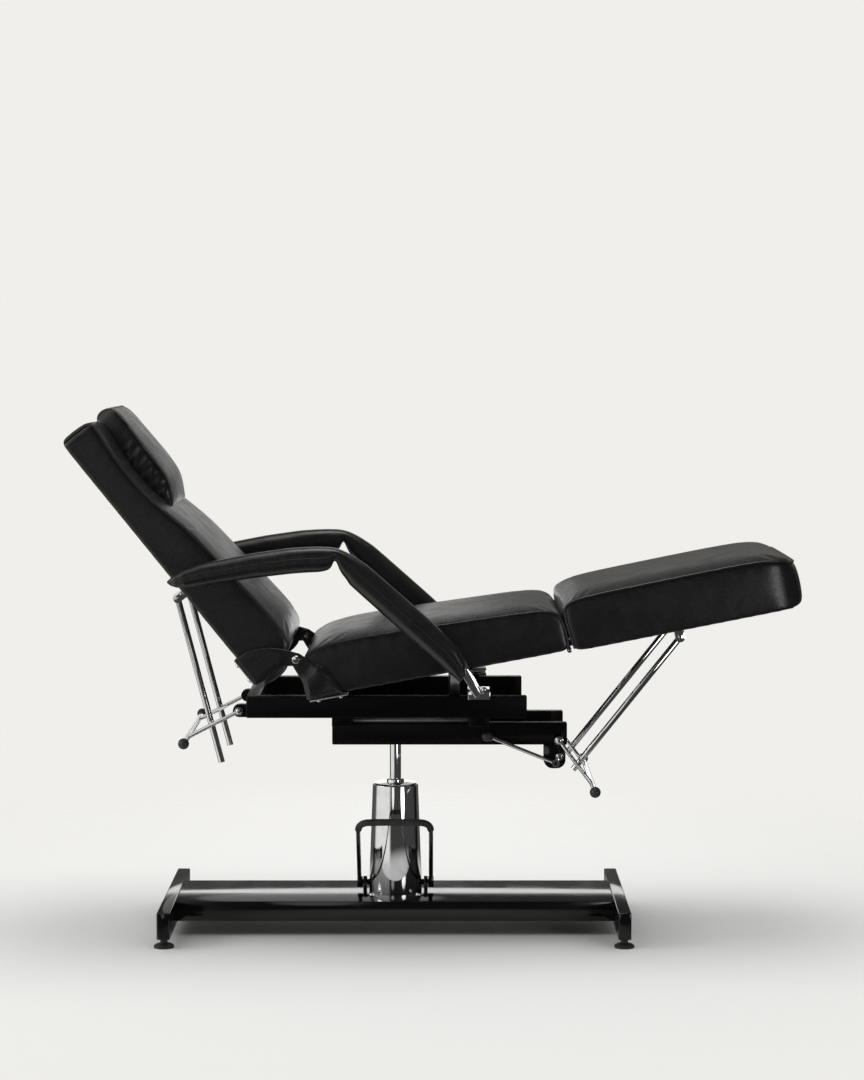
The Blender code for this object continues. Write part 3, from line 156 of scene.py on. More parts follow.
def surface(start, settings):
    shader = start.node("ShaderNodeBsdfPrincipled", {}, settings)
    start.node("ShaderNodeOutputMaterial", {}, {"Surface": shader})


def leather_material(name, sheen_low, sheen_high, undulation):
    made, start, place = new_material(name)
    jitter = place.node("ShaderNodeTexNoise", {}, {"Vector": place, "Scale": 180.0}, "Color")
    warped = place.node("ShaderNodeVectorMath", {"operation": "MULTIPLY_ADD"},
                        {0: jitter, 1: (0.0012, 0.0012, 0.0012), 2: place})
    pebble = warped.cells(520.0).between(0.0, 0.32)
    pores = warped.cells(1150.0, "F1").between(0.05, 0.6)
    swells = place.noise(7.0, 2.0, 0.5, 0.6)
    creases = place.noise(34.0, 3.0, 0.55, 1.2)
    height = pebble * 0.00005 + pores * 0.00001 + swells * undulation + creases * (undulation * 0.12)
    worn = place.noise(16.0, 4.0, 0.6)
    surface(start, {
        "Base Color": (worn * 0.7 + pebble * 0.3).tint((0.0075, 0.0075, 0.0079), (0.0140, 0.0138, 0.0142)),
        "Roughness": worn.between(0.3, 0.75) * (sheen_high - sheen_low) + sheen_low + (1 - pebble) * 0.10,
        "Specular IOR Level": 0.5,
        "Normal": height.relief(),
    })
    return made


def paint_material(name, roughness, gloss, depth):
    made, start, place = new_material(name)
    peel = place.noise(330.0, 1.0)
    handled = place.noise(9.0, 4.0, 0.62, 0.4)
    edge = start.node("ShaderNodeNewGeometry", {}, {}, "Pointiness").between(0.56, 0.70)
    specks = place.cells(140.0, "F1").between(0.12, 0.02)
    bare = edge * 0.5 + specks * handled * 0.35
    surface(start, {
        "Base Color": bare.tint((depth, depth, depth * 1.07), (0.035, 0.035, 0.035)),
        "Roughness": handled.between(0.35, 0.75) * 0.08 + edge * 0.12 + roughness,
        "Specular IOR Level": gloss,
        "Normal": (peel * 0.00005).relief(0.6),
    })
    return made


def chrome_material():
    made, start, place = new_material("polished_chrome")
    smears = place.noise(26.0, 4.0, 0.65, 0.8).between(0.45, 0.8)
    hairlines = place.stretched(1.0, 1.0, 0.03).noise(900.0, 1.0).between(0.55, 0.8)
    edge = start.node("ShaderNodeNewGeometry", {}, {}, "Pointiness").between(0.55, 0.68)
    surface(start, {
        "Base Color": smears.tint((0.80, 0.81, 0.82), (0.66, 0.67, 0.68)),
        "Metallic": 1.0,
        "Roughness": smears * 0.10 + hairlines * 0.03 + edge * 0.06 + 0.045,
        "Normal": (place.noise(60.0, 1.0) * 0.00004).relief(0.4),
    })
    return made


def steel_material():
    made, start, place = new_material("zinc_plated_steel")
    brushed = place.stretched(0.06, 1.0, 1.0).noise(1400.0, 2.0)
    bloom = place.noise(55.0, 3.0, 0.6)
    surface(start, {
        "Base Color": bloom.tint((0.48, 0.49, 0.50), (0.64, 0.64, 0.63)),
        "Metallic": 0.7,
        "Roughness": brushed * 0.12 + bloom * 0.12 + 0.20,
        "Normal": (brushed * 0.00002).relief(0.7),
    })
    return made


def plastic_material():
    made, start, place = new_material("moulded_black_plastic")
    grain = place.noise(1600.0, 1.0)
    scuffs = place.noise(70.0, 4.0, 0.7, 0.5).between(0.52, 0.78)
    surface(start, {
        "Base Color": scuffs.tint((0.022, 0.022, 0.024), (0.055, 0.055, 0.057)),
        "Roughness": scuffs * 0.2 + grain * 0.08 + 0.28,
        "Normal": (grain * 0.00003).relief(0.7),
    })
    return made


def rubber_material():
    made, start, place = new_material("matt_rubber")
    dust = place.noise(45.0, 5.0, 0.65).between(0.45, 0.75)
    grain = place.noise(900.0, 2.0)
    surface(start, {
        "Base Color": dust.tint((0.014, 0.014, 0.015), (0.045, 0.043, 0.041)),
        "Roughness": dust * 0.2 + grain * 0.1 + 0.55,
        "Normal": (grain * 0.00008).relief(),
    })
    return made


def board_material():
    made, start, place = new_material("black_board_cover")
    fibres = place.stretched(1.0, 0.25, 1.0).noise(700.0, 3.0, 0.7)
    cross = place.stretched(0.25, 1.0, 1.0).noise(640.0, 3.0, 0.7)
    lint = place.noise(90.0, 4.0, 0.7).between(0.6, 0.8)
    nap = fibres * 0.5 + cross * 0.5 + lint * 0.3
    surface(start, {
        "Base Color": nap.tint((0.008, 0.008, 0.008), (0.034, 0.033, 0.032)),
        "Roughness": fibres * 0.15 + 0.78,
        "Normal": ((fibres + cross) * 0.00012).relief(),
    })
    return made


FINISHES = {
    "leather": leather_material("black_leather", sheen_low=0.19, sheen_high=0.28, undulation=0.00006),
    "paint": paint_material("gloss_black_powder_coat", roughness=0.07, gloss=0.5, depth=0.0032),
    "satin": paint_material("satin_black_powder_coat", roughness=0.30, gloss=0.14, depth=0.0018),
    "chrome": chrome_material(),
    "steel": steel_material(),
    "plastic": plastic_material(),
    "rubber": rubber_material(),
    "plywood": board_material(),
}


# Working on a mesh

def only(piece):
    """Makes a piece the one that is selected and active."""
    bpy.ops.object.select_all(action="DESELECT")
    piece.select_set(True)
    bpy.context.view_layer.objects.active = piece


def edit(piece, *steps):
    """Runs edit-mode steps on the whole of a piece."""
    only(piece)
    bpy.ops.object.mode_set(mode="EDIT")
    bpy.ops.mesh.select_all(action="SELECT")
    for step in steps:
        step()
    bpy.ops.object.mode_set(mode="OBJECT")


def apply(piece, kind, **settings):
    only(piece)
    modifier = piece.modifiers.new("shaping", kind)
    for name, value in settings.items():
        setattr(modifier, name, value)
    bpy.ops.object.modifier_apply(modifier=modifier.name)


def join(pieces, name):
    bpy.ops.object.select_all(action="DESELECT")
    for piece in pieces:
        piece.select_set(True)
    bpy.context.view_layer.objects.active = pieces[0]
    if len(pieces) > 1:
        bpy.ops.object.join()
    pieces[0].name = name
    return pieces[0]


def started(name, add, **settings):
    """A new piece from a primitive."""
    bpy.ops.object.select_all(action="DESELECT")
    add(**settings)
    piece = bpy.context.active_object
    piece.name = name
    return piece


def copy_of(name, node):
    """A copy of a CAD node to work on, with its faces joined up."""
    piece = bpy.data.objects.new(name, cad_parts[node].data.copy())
    bpy.context.collection.objects.link(piece)
    piece.data.materials.clear()
    edit(piece, lambda: bpy.ops.mesh.remove_doubles(threshold=2e-5),
         bpy.ops.mesh.customdata_custom_splitnormals_clear)
    return piece


def dress(piece, finish):
    piece.data.materials.clear()
    piece.data.materials.append(FINISHES[finish])
    "paint" if finish == "satin" else finish


def points_of(piece):
    spots = np.zeros(len(piece.data.vertices) * 3)
    piece.data.vertices.foreach_get("co", spots)
    return spots.reshape(-1, 3)


def normals_of(piece):
    arrows = np.zeros(len(piece.data.vertices) * 3, np.float32)
    piece.data.vertex_normals.foreach_get("vector", arrows)
    return arrows.reshape(-1, 3)


def set_points(piece, spots):
    piece.data.vertices.foreach_set("co", spots.ravel())
    piece.data.update()


def surface_tree(piece):
    return BVHTree.FromPolygons([vertex.co for vertex in piece.data.vertices],
                                [polygon.vertices[:] for polygon in piece.data.polygons])


# Padded pieces

SEAM_STEP = 0.004              # between the points of a seam
SEAM_GRIP = 0.9                # how fast the cloth is held at a seam
GROOVE_REACH = 0.006           # half the width of a seam's groove
TAPER_RUN = 0.16               # length over which a tapered cushion reaches its full size
RINGS_ACROSS = 41
BASE_HELD = 0.012              # height over which a cover is fast to its board
COVER_PRESSURE, ARM_PRESSURE = 4.0, 2.0
SIDE_EASE = 0.55               # how much less the side panels fill
SIDE_BULGE = 0.005             # furthest bulge of a side panel
EAR_MARGIN = 0.02              # round a hinge ear, where a cover stays inside of it
WELT_PROUD = 0.45              # a welt's middle over its cover, in radii


def softened(corners, turns, closed):
    """Rounds a line of corners by halving its runs and easing its points."""
    spots = np.array(corners, float)
    for turn in range(turns):
        before, after = np.roll(spots, 1, axis=0), np.roll(spots, -1, axis=0)
        eased = (before + spots * 6 + after) / 8
        middles = (spots + after) / 2
        if not closed:
            eased[0], eased[-1] = spots[0], spots[-1]
        woven = np.empty((len(spots) * 2, spots.shape[1]))
        woven[0::2], woven[1::2] = eased, middles
        spots = woven if closed else woven[:-1]
    return spots


def spaced(line, step):
    """Points a step apart along a line."""
    line = np.array(line, float)
    run = np.concatenate([[0.0], np.cumsum(np.linalg.norm(np.diff(line, axis=0), axis=1))])
    marks = np.linspace(0.0, run[-1], max(2, int(round(run[-1] / step)) + 1))
    return np.stack([np.interp(marks, run, line[:, i]) for i in range(line.shape[1])], axis=1)


def skinned(name, rings):
    """A closed body over a row of rings of points."""
    shape = bmesh.new()
    loops = [[shape.verts.new(spot) for spot in ring] for ring in rings]
    count = len(loops[0])
    for first, second in zip(loops, loops[1:]):
        for i in range(count):
            j = (i + 1) % count
            shape.faces.new((first[i], first[j], second[j], second[i]))
    shape.faces.new(loops[0])
    shape.faces.new(reversed(loops[-1]))
    bmesh.ops.recalc_face_normals(shape, faces=shape.faces)
    mesh = bpy.data.meshes.new(name)
    shape.to_mesh(mesh)
    shape.free()
    piece = bpy.data.objects.new(name, mesh)
    bpy.context.collection.objects.link(piece)
    return piece


def tube(name, path, radius):
    """A round welt along a path."""
    curve = bpy.data.curves.new(name, "CURVE")
    curve.dimensions = "3D"
    curve.bevel_depth = radius
    curve.bevel_resolution = 2
    curve.use_fill_caps = True
    line = curve.splines.new("POLY")
    line.points.add(len(path) - 1)
    for point, spot in zip(line.points, path):
        point.co = (*spot, 1.0)
    piece = bpy.data.objects.new(name, curve)
    bpy.context.collection.objects.link(piece)
    only(piece)
    bpy.ops.object.convert(target="MESH")
    piece = bpy.context.active_object
    edit(piece, lambda: bpy.ops.mesh.remove_doubles(threshold=1e-5))
    bpy.ops.object.shade_smooth_by_angle(angle=math.radians(60))
    return piece


def swell(piece, held, pressure, cap):
    """Blows the cover up as cloth, with the held points fast; cap is each point's furthest move."""
    group = piece.vertex_groups.new(name="held")
    for level in np.unique(held):
        if level > 0:
            group.add(np.flatnonzero(held == level).tolist(), float(level), "REPLACE")
    before = points_of(piece)
    only(piece)
    cloth = piece.modifiers.new("swell", "CLOTH")
    cloth.settings.quality = 4
    cloth.settings.mass = 0.3
    cloth.settings.tension_stiffness = 14
    cloth.settings.compression_stiffness = 14
    cloth.settings.shear_stiffness = 7
    cloth.settings.bending_stiffness = 0.8
    cloth.settings.use_pressure = True
    cloth.settings.uniform_pressure_force = pressure
    cloth.settings.effector_weights.gravity = 0.0
    cloth.settings.vertex_group_mass = "held"
    cloth.collision_settings.use_collision = False
    cloth.point_cache.frame_end = SWELL_STEPS
    for step in range(1, SWELL_STEPS + 1):
        scene.frame_set(step)
    bpy.ops.object.modifier_apply(modifier="swell")
    scene.frame_set(1)
    piece.vertex_groups.clear()
    move = points_of(piece) - before
    reach = np.maximum(np.linalg.norm(move, axis=1), 1e-9)
    eased = cap * np.tanh(reach / cap)
    set_points(piece, before + move * (eased / reach)[:, None])


def near_line(spots, path):
    """Each point's distance to a line, and how far along the line it is nearest."""
    tree = KDTree(len(path))
    for i, spot in enumerate(path):
        tree.insert(spot, i)
    tree.balance()
    found = [tree.find(spot) for spot in spots]
    step = (Vector(path[1]) - Vector(path[0])).length
    return np.array([hit[2] for hit in found]), np.array([hit[1] * step for hit in found])


def pucker(piece, path, depth, pitch, reach, groove):
    """Draws the cover in along a seam, with small gathers that run away from it."""
    spots = points_of(piece)
    gap, along = near_line(spots, path)
    turn = 2 * math.pi / pitch
    wave = 0.55 * np.sin(along * turn) + 0.3 * np.sin(along * turn * 0.43 + 1.7)
    wave += 0.25 * np.sin(along * turn * 1.61 + 0.6)
    fade = np.exp(-(gap / reach) ** 2)
    move = wave * fade * depth - groove * np.exp(-(gap / GROOVE_REACH) ** 2)
    set_points(piece, spots + normals_of(piece) * move[:, None])


class Cushion:
    """A boxed cushion: its side view run across the chair, crowned, with rounded corners in plan."""

    def __init__(self, slant, outline, half_width, crown,
                 front_corner=0.012, rear_corner=0.012, edge=0.65, taper=0.0):
        self.slant = slant
        self.edge = edge
        self.taper = taper
        self.outline = outline
        self.half_width = half_width
        self.crown = crown
        outs = [out for along, out in outline]
        alongs = [along for along, out in outline]
        self.low, self.high = min(outs), max(outs)
        self.ends = ((max(alongs), 1, front_corner), (min(alongs), -1, rear_corner))

    def from_rear(self, along):
        """0 at the rear end, rising to 1."""
        return np.clip((along - self.ends[1][0]) / TAPER_RUN, 0.0, 1.0)

    def lift(self, along, out, y):
        """The crown's rise over the upper half of the side view; a tapered cushion is flat at its rear."""
        share = np.clip(np.abs(y) / self.half_width, 0.0, 1.0)
        rise = self.crown * (1 - (1 - self.edge) * share ** 2 - self.edge * share ** 12)
        if self.taper:
            rise = rise * self.from_rear(along)
        return rise * np.clip((out - self.low) / (self.high - self.low) * 2 - 1, 0.0, 1.0)

    def rounded(self, places):
        """Moves points (along, out, y) so that the corners are round in plan."""
        along, out, y = np.array(places, float).T
        for end, way, radius in self.ends:
            a = np.clip((along - end) * way / radius + 1, 0.0, 1.0)
            b = np.clip((np.abs(y) - self.half_width) / radius + 1, 0.0, 1.0)
            along = along + way * radius * a * (np.sqrt(1 - b * b / 2) - 1)
            y = y + np.sign(y) * radius * b * (np.sqrt(1 - a * a / 2) - 1)
        y = y * (1 - self.taper * (1 - self.from_rear(along)))
        return np.stack([along, out, y], axis=1)

    def world(self, places):
        """Points (along, out, y) as (x, y, z)."""
        slant = self.slant
        places = np.array(places)
        axes = np.array([slant.along, slant.out, (0.0, 1.0, 0.0)])
        return np.array(slant.origin) + places @ axes

    def local(self, spots):
        """Points (x, y, z) as (along, out, y)."""
        slant = self.slant
        moved = spots - np.array(slant.origin)
        return np.stack([moved @ np.array(slant.along), moved @ np.array(slant.out), moved[:, 1]], axis=1)

    def body(self, name, voxel):
        """The cover before it is filled."""
        loop = softened(self.outline, 2, True)
        rings = []
        for share in np.linspace(-1.0, 1.0, RINGS_ACROSS):
            y = np.full(len(loop), share * self.half_width)
            out = loop[:, 1] + self.lift(loop[:, 0], loop[:, 1], y)
            rings.append(self.world(np.stack([loop[:, 0], out, y], axis=1)))
        piece = skinned(name, rings)
        apply(piece, "REMESH", mode="VOXEL", voxel_size=voxel)
        apply(piece, "SMOOTH", factor=0.5, iterations=2)
        set_points(piece, self.world(self.rounded(self.local(points_of(piece)))))
        return piece

    def side_line(self, start, end, side):
        """A stretch of the side view's outline, on one side panel's edge."""
        line = softened(self.outline[start:end], 2, False)
        y = np.full((len(line), 1), side * self.half_width)
        return np.hstack([line, y])


def cover(name, cushion, lines, voxel, fill, near=()):
    """A filled cover over a cushion's CAD solids, held and drawn in along its seam lines."""
    piece = cushion.body(name, voxel)
    paths = [cushion.world(cushion.rounded(spaced(line, SEAM_STEP))) for line in lines]
    spots = points_of(piece)
    gap = np.min([near_line(spots, path)[0] for path in paths], axis=0)
    out = cushion.local(spots)[:, 1]
    held = np.where(gap < GROOVE_REACH, SEAM_GRIP, 0.0)
    held[out < cushion.low + BASE_HELD] = 1.0
    across = np.abs(normals_of(piece)[:, 1])
    swell(piece, held, COVER_PRESSURE, fill * (1 - SIDE_EASE * across))
    spots = points_of(piece)
    limit = np.full(len(spots), cushion.half_width + SIDE_BULGE)
    for node in near:
        low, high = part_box(node)
        inside = np.all((spots[:, ::2] > np.array(low)[::2] - EAR_MARGIN)
                        & (spots[:, ::2] < np.array(high)[::2] + EAR_MARGIN), axis=1)
        limit[inside] = NEAR_EARS_Y
    spots[:, 1] = np.clip(spots[:, 1], -limit, limit)
    set_points(piece, spots)
    for path in paths:
        pucker(piece, path, depth=0.0004, pitch=0.047, reach=0.024, groove=0.0018)
    return piece, paths


def smoothed(line):
    """A line with its inner points drawn towards their neighbours."""
    inner = [(a + b * 2 + c) / 4 for a, b, c in zip(line, line[1:], line[2:])]
    return [line[0]] + inner + [line[-1]]


def finish_cover(piece, paths, nodes, body, welt_radius):
    """Subdivides a cover, lays its welts on it and hangs both on their body."""
    apply(piece, "SUBSURF", levels=1, render_levels=1)
    bpy.ops.object.shade_smooth()
    tree = surface_tree(piece)
    welts = []
    for path in paths:
        seats = [tree.find_nearest(spot) for spot in path]
        line = [place + normal * welt_radius * WELT_PROUD for place, normal, face, gap in seats]
        welts.append(tube("welt", smoothed(smoothed(line)), welt_radius))
    welt = join(welts, piece.name + "_welt")
    dress(piece, "leather")
    dress(welt, "leather")
    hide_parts(*nodes)
    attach(piece, body)
    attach(welt, body)


# Side views, along each section and out of it, from the rear of the underside round to the front and back
SEAT_OUTLINE = [(0.006, 0), (0.10, 0), (0.30, 0), (0.50, 0), (0.605, 0), (0.6190, 0.006),
                (0.6205, 0.030), (0.6185, 0.060), (0.6105, 0.085), (0.592, 0.0995), (0.550, 0.1055),
                (0.42, 0.1105), (0.25, 0.1165), (0.146, 0.1195), (0.062, 0.1165), (0.018, 0.105),
                (-0.001, 0.080), (-0.003, 0.035), (-0.002, 0.006)]
LEG_OUTLINE = [(0.010, 0), (0.10, 0), (0.26, 0), (0.42, 0), (0.530, 0), (0.5435, 0.006),
               (0.5455, 0.040), (0.5445, 0.075), (0.538, 0.104), (0.515, 0.1175), (0.430, 0.1240),
               (0.28, 0.1235), (0.14, 0.1225), (0.05, 0.1215), (0.008, 0.1165), (-0.011, 0.103),
               (-0.0125, 0.085), (-0.010, 0.055), (-0.005, 0.025), (-0.001, 0.005)]
BACK_OUTLINE = [(0.002, -0.008), (0.12, -0.008), (0.30, -0.008), (0.50, -0.008), (0.690, -0.008),
                (0.7035, -0.002), (0.705, 0.030), (0.7045, 0.070), (0.699, 0.100), (0.675, 0.1160),
                (0.60, 0.1155), (0.43, 0.1010), (0.33, 0.0940), (0.26, 0.0760), (0.18, 0.0655),
                (0.09, 0.0690), (0.020, 0.0785), (0.001, 0.0745), (-0.004, 0.055), (-0.0045, 0.020),
                (-0.004, -0.004)]
PILLOW_OUTLINE = [(0.000, 0.071), (0.048, 0.066), (0.12, 0.062), (0.19, 0.064), (0.262, 0.076),
                  (0.278, 0.0815), (0.273, 0.0920), (0.246, 0.1065), (0.217, 0.1205), (0.190, 0.1222),
                  (0.136, 0.1236), (0.066, 0.1262), (0.018, 0.1270), (0.000, 0.1205), (-0.008, 0.104),
                  (-0.010, 0.087)]
# The slices of the outlines that the welts follow
SEAT_WELT = (5, None)
LEG_WELT = (8, None)
BACK_WELT = (5, None)
PILLOW_WELT = (5, 14)
CUSHION_HALF = 0.2865
PILLOW_HALF = 0.1775
VOXEL = 0.0066
PILLOW_VOXEL = 0.0055


def both_sides(cushion, start, end):
    return [cushion.side_line(start, end, side) for label, side in SIDES]


def round_the_front(cushion, start, end):
    """One line up a rear corner, along the top edge, round the front and back along the other side."""
    near, far = both_sides(cushion, start, end)
    return [np.vstack([near[::-1], far])]


def round_the_face(cushion, start, end):
    """A closed line round a cushion's face."""
    near, far = both_sides(cushion, start, end)
    return [np.vstack([near, far[::-1], near[:1]])]


def make_cushions():
    seat = Cushion(SEAT, SEAT_OUTLINE, CUSHION_HALF, crown=0.012)
    piece, paths = cover("seat_cushion_cover", seat, both_sides(seat, *SEAT_WELT), VOXEL, fill=0.007,
                         near=["seat_ear_left", "arm_bracket_left"])
    finish_cover(piece, paths, ["seat_cushion", "seat_board"], "carriage", welt_radius=0.0026)

    leg = Cushion(LEG, LEG_OUTLINE, CUSHION_HALF, crown=0.012, front_corner=0.070)
    piece, paths = cover("leg_cushion_cover", leg, round_the_front(leg, *LEG_WELT), VOXEL, fill=0.007)
    finish_cover(piece, paths, ["leg_cushion", "leg_board"], "leg_rest", welt_radius=0.0036)

    back = Cushion(BACK, BACK_OUTLINE, CUSHION_HALF, crown=0.012, rear_corner=0.020)
    piece, paths = cover("back_cushion_cover", back, both_sides(back, *BACK_WELT), VOXEL, fill=0.006,
                         near=["back_ear_left", "arm_stud_left"])
    finish_cover(piece, paths, ["back_cushion", "back_board"], "back", welt_radius=0.0022)

    pillow = Cushion(BACK, PILLOW_OUTLINE, PILLOW_HALF, crown=0.017, rear_corner=0.030,
                     edge=0.15, taper=0.18)
    face_line = round_the_face(pillow, *PILLOW_WELT)
    piece, paths = cover("head_pillow_cover", pillow, face_line, PILLOW_VOXEL, fill=0.0025)
    gather(piece, pillow)
    finish_cover(piece, paths, ["head_pillow"], "back", welt_radius=0.0018)


GATHER_FROM, GATHER_TO = 0.085, 0.262   # the gathered stretch, along the back
GATHER_FADE = 0.02
GATHER_PITCH = 0.027
GATHER_DEPTH = 0.0058
GATHER_SLANT = 0.25
PANEL_LOW, PANEL_LOW_FADE = 0.076, 0.014
PANEL_HIGH, PANEL_HIGH_FADE = 0.128, 0.012
PANEL_SLOPE, PANEL_START = 0.060, 0.018


def gather(piece, pillow):
    """The gathered stretch on each side panel of the pillow."""
    spots = points_of(piece)
    along, out, y = pillow.local(spots).T
    window = np.clip((along - GATHER_FROM) / GATHER_FADE, 0, 1)
    window = window * np.clip((GATHER_TO - along) / GATHER_FADE, 0, 1)
    face = PANEL_HIGH - PANEL_SLOPE * np.clip(along - PANEL_START, 0, 1)
    height = np.clip((out - PANEL_LOW) / PANEL_LOW_FADE, 0, 1)
    height = height * np.clip((face - out) / PANEL_HIGH_FADE, 0, 1)
    puffs = np.abs(np.sin((along - GATHER_FROM + out * GATHER_SLANT) * math.pi / GATHER_PITCH)) ** 0.8
    onto_side = np.clip(np.abs(normals_of(piece)[:, 1]) * 2 - 0.9, 0, 1)
    spots[:, 1] += np.sign(y) * GATHER_DEPTH * (puffs - 0.55) * window * height * onto_side
    set_points(piece, spots)


make_cushions()


# Armrests

ARM_BEND = Vector((PUMP_X - 0.118, 0.0, 0.907))
ARM_FOOT = Vector((PUMP_X + 0.155, 0.0, 0.664))
ARM_MIDDLE_Y = 0.333
ARM_HALF_WIDTH = 0.0290
ARM_INNER_Y = 0.3033
ARM_RISE = 1.06                # top of a section above its middle, in half heights
ARM_DEEPEST = 0.0290           # half the lower arm's depth, before its tip
ARM_TIP_FROM = 0.2             # from here down, the tip thins towards its underside
ARM_STEP = 0.0042              # between the sections
ARM_RING = 40                  # points round a section
ARM_SQUARE = 2 / 3.0           # power that squares a section off
SEAM_RISE = 0.12               # the seam over the middle, in half heights
ARM_WELT_RADIUS = 0.0014
ARM_WELT_PROUD = 0.0004
# Side view of the upper arm: x from the column, height of its middle, half its depth, and its width
UPPER_ARM = [(-0.5185, 0.8560, 0.0015, 0.25), (-0.511, 0.8562, 0.0070, 0.60),
             (-0.499, 0.8580, 0.0135, 0.85), (-0.478, 0.8640, 0.0198, 0.98),
             (-0.440, 0.8735, 0.0235, 1.0), (-0.327, 0.8935, 0.0255, 1.0), (-0.235, 0.9055, 0.0270, 1.0)]
# The elbow: top point and underside point, with the notch between two lobes
ELBOW = [((-0.200, 0.9365), (-0.197, 0.8795)), ((-0.172, 0.9375), (-0.168, 0.8800)),
         ((-0.154, 0.9372), (-0.150, 0.8835)), ((-0.145, 0.9365), (-0.1415, 0.8900)),
         ((-0.138, 0.9355), (-0.1385, 0.8990)), ((-0.131, 0.9340), (-0.1345, 0.9080)),
         ((-0.122, 0.9315), (-0.1290, 0.9000)), ((-0.113, 0.9280), (-0.1250, 0.8880)),
         ((-0.103, 0.9230), (-0.1180, 0.8755)), ((-0.090, 0.9160), (-0.1080, 0.8640))]
# Distances down the lower arm from the bend, with half its depth and its width
LOWER_ARM = [(0.050, 0.0285, 1.0), (0.110, 0.0283, 1.0), (0.255, 0.0290, 1.0), (0.331, 0.0275, 1.0),
             (0.3655, 0.0205, 0.97), (0.3845, 0.0115, 0.82), (0.389, 0.0035, 0.40)]


def arm_stations():
    """Top, underside and width along the whole arm, close together and eased."""
    rows = []
    for i, (x, z, half, width) in enumerate(UPPER_ARM):
        before, after = UPPER_ARM[max(i - 1, 0)], UPPER_ARM[min(i + 1, len(UPPER_ARM) - 1)]
        slope = math.atan2(after[1] - before[1], after[0] - before[0])
        lean_x, lean_z = -math.sin(slope) * half * ARM_RISE, math.cos(slope) * half * ARM_RISE
        rows.append((x + lean_x, z + lean_z, x - lean_x, z - lean_z, width))
    rows += [(*top, *under, 1.0) for top, under in ELBOW]
    run = (ARM_FOOT - ARM_BEND).normalized()
    for along, half, width in LOWER_ARM:
        sink = max(0.0, ARM_DEEPEST - half) if along > ARM_TIP_FROM else 0.0
        x = ARM_BEND.x - PUMP_X + run.x * along + run.z * sink
        z = ARM_BEND.z + run.z * along - run.x * sink
        rows.append((x - run.z * half * ARM_RISE, z + run.x * half * ARM_RISE,
                     x + run.z * half * ARM_RISE, z - run.x * half * ARM_RISE, width))
    rows = spaced(rows, ARM_STEP)
    for turn in range(2):
        rows[1:-1] = (rows[:-2] + rows[1:-1] * 2 + rows[2:]) / 4
    return rows


def armrest(label, side):
    """One pad over both arm bars, which bends at the elbow."""
    rows = arm_stations()
    turns = np.linspace(0.0, 2 * math.pi, ARM_RING, endpoint=False)
    across = np.sign(np.cos(turns)) * np.abs(np.cos(turns)) ** ARM_SQUARE
    height = np.sign(np.sin(turns)) * np.abs(np.sin(turns)) ** ARM_SQUARE
    rings = []
    seam = []
    for top_x, top_z, under_x, under_z, width in rows:
        middle = Vector((PUMP_X + (top_x + under_x) / 2, side * ARM_MIDDLE_Y, (top_z + under_z) / 2))
        half = Vector(((top_x - under_x) / 2, 0.0, (top_z - under_z) / 2))
        rings.append([middle + half * up + Vector((0.0, out * ARM_HALF_WIDTH * width, 0.0))
                      for out, up in zip(across, height)])
        seam.append(middle + half * SEAM_RISE + Vector((0.0, side * ARM_HALF_WIDTH * width, 0.0)))
    piece = skinned("armrest_" + label, rings)
    seam = [Vector(spot) for spot in spaced(seam, SEAM_STEP)]
    gap = near_line(points_of(piece), seam)[0]
    swell(piece, np.where(gap < SEAM_STEP, SEAM_GRIP, 0.0), ARM_PRESSURE, cap=0.0016)
    apply(piece, "SMOOTH", factor=0.5, iterations=5)
    spots = points_of(piece)
    spots[:, 1] = side * np.maximum(np.abs(spots[:, 1]), ARM_INNER_Y)
    set_points(piece, spots)
    pucker(piece, seam, depth=0.0003, pitch=0.035, reach=0.014, groove=0.0014)
    apply(piece, "SUBSURF", levels=1, render_levels=1)
    bpy.ops.object.shade_smooth()
    tree = surface_tree(piece)
    seats = [tree.find_nearest(spot) for spot in seam[2:-2]]
    line = [place + normal * ARM_WELT_PROUD for place, normal, face, gap in seats]
    welt = tube("armrest_welt_" + label, line, ARM_WELT_RADIUS)
    dress(piece, "leather")
    dress(welt, "leather")
    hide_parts("arm_lower_pad_" + label, "arm_upper_pad_" + label)
    middle = ARM_BEND + Vector((0.0, side * ARM_MIDDLE_Y, 0.0))
    for part in (piece, welt):
        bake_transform(part)


for label, side in SIDES:
    armrest(label, side)


# Metal, plastic and rubber pieces

FRAME_TUBE = 0.030
LOWER_FRONT, LOWER_HALF = 0.407, 0.130  # front end of a frame from the column, and half its width
UPPER_FRONT, UPPER_HALF = 0.309, 0.225
ROOM_LENGTH = FRAME_TUBE * 2.05         # the box that clears a front cross tube away
ROOM_Z, ROOM_HEIGHT = 0.5, 0.4
ROUNDED = -1                            # in place of an edge: the whole piece is rounded


def pair(name, finish, edge):
    return [(name + "_" + label, finish, edge) for label, side in SIDES]


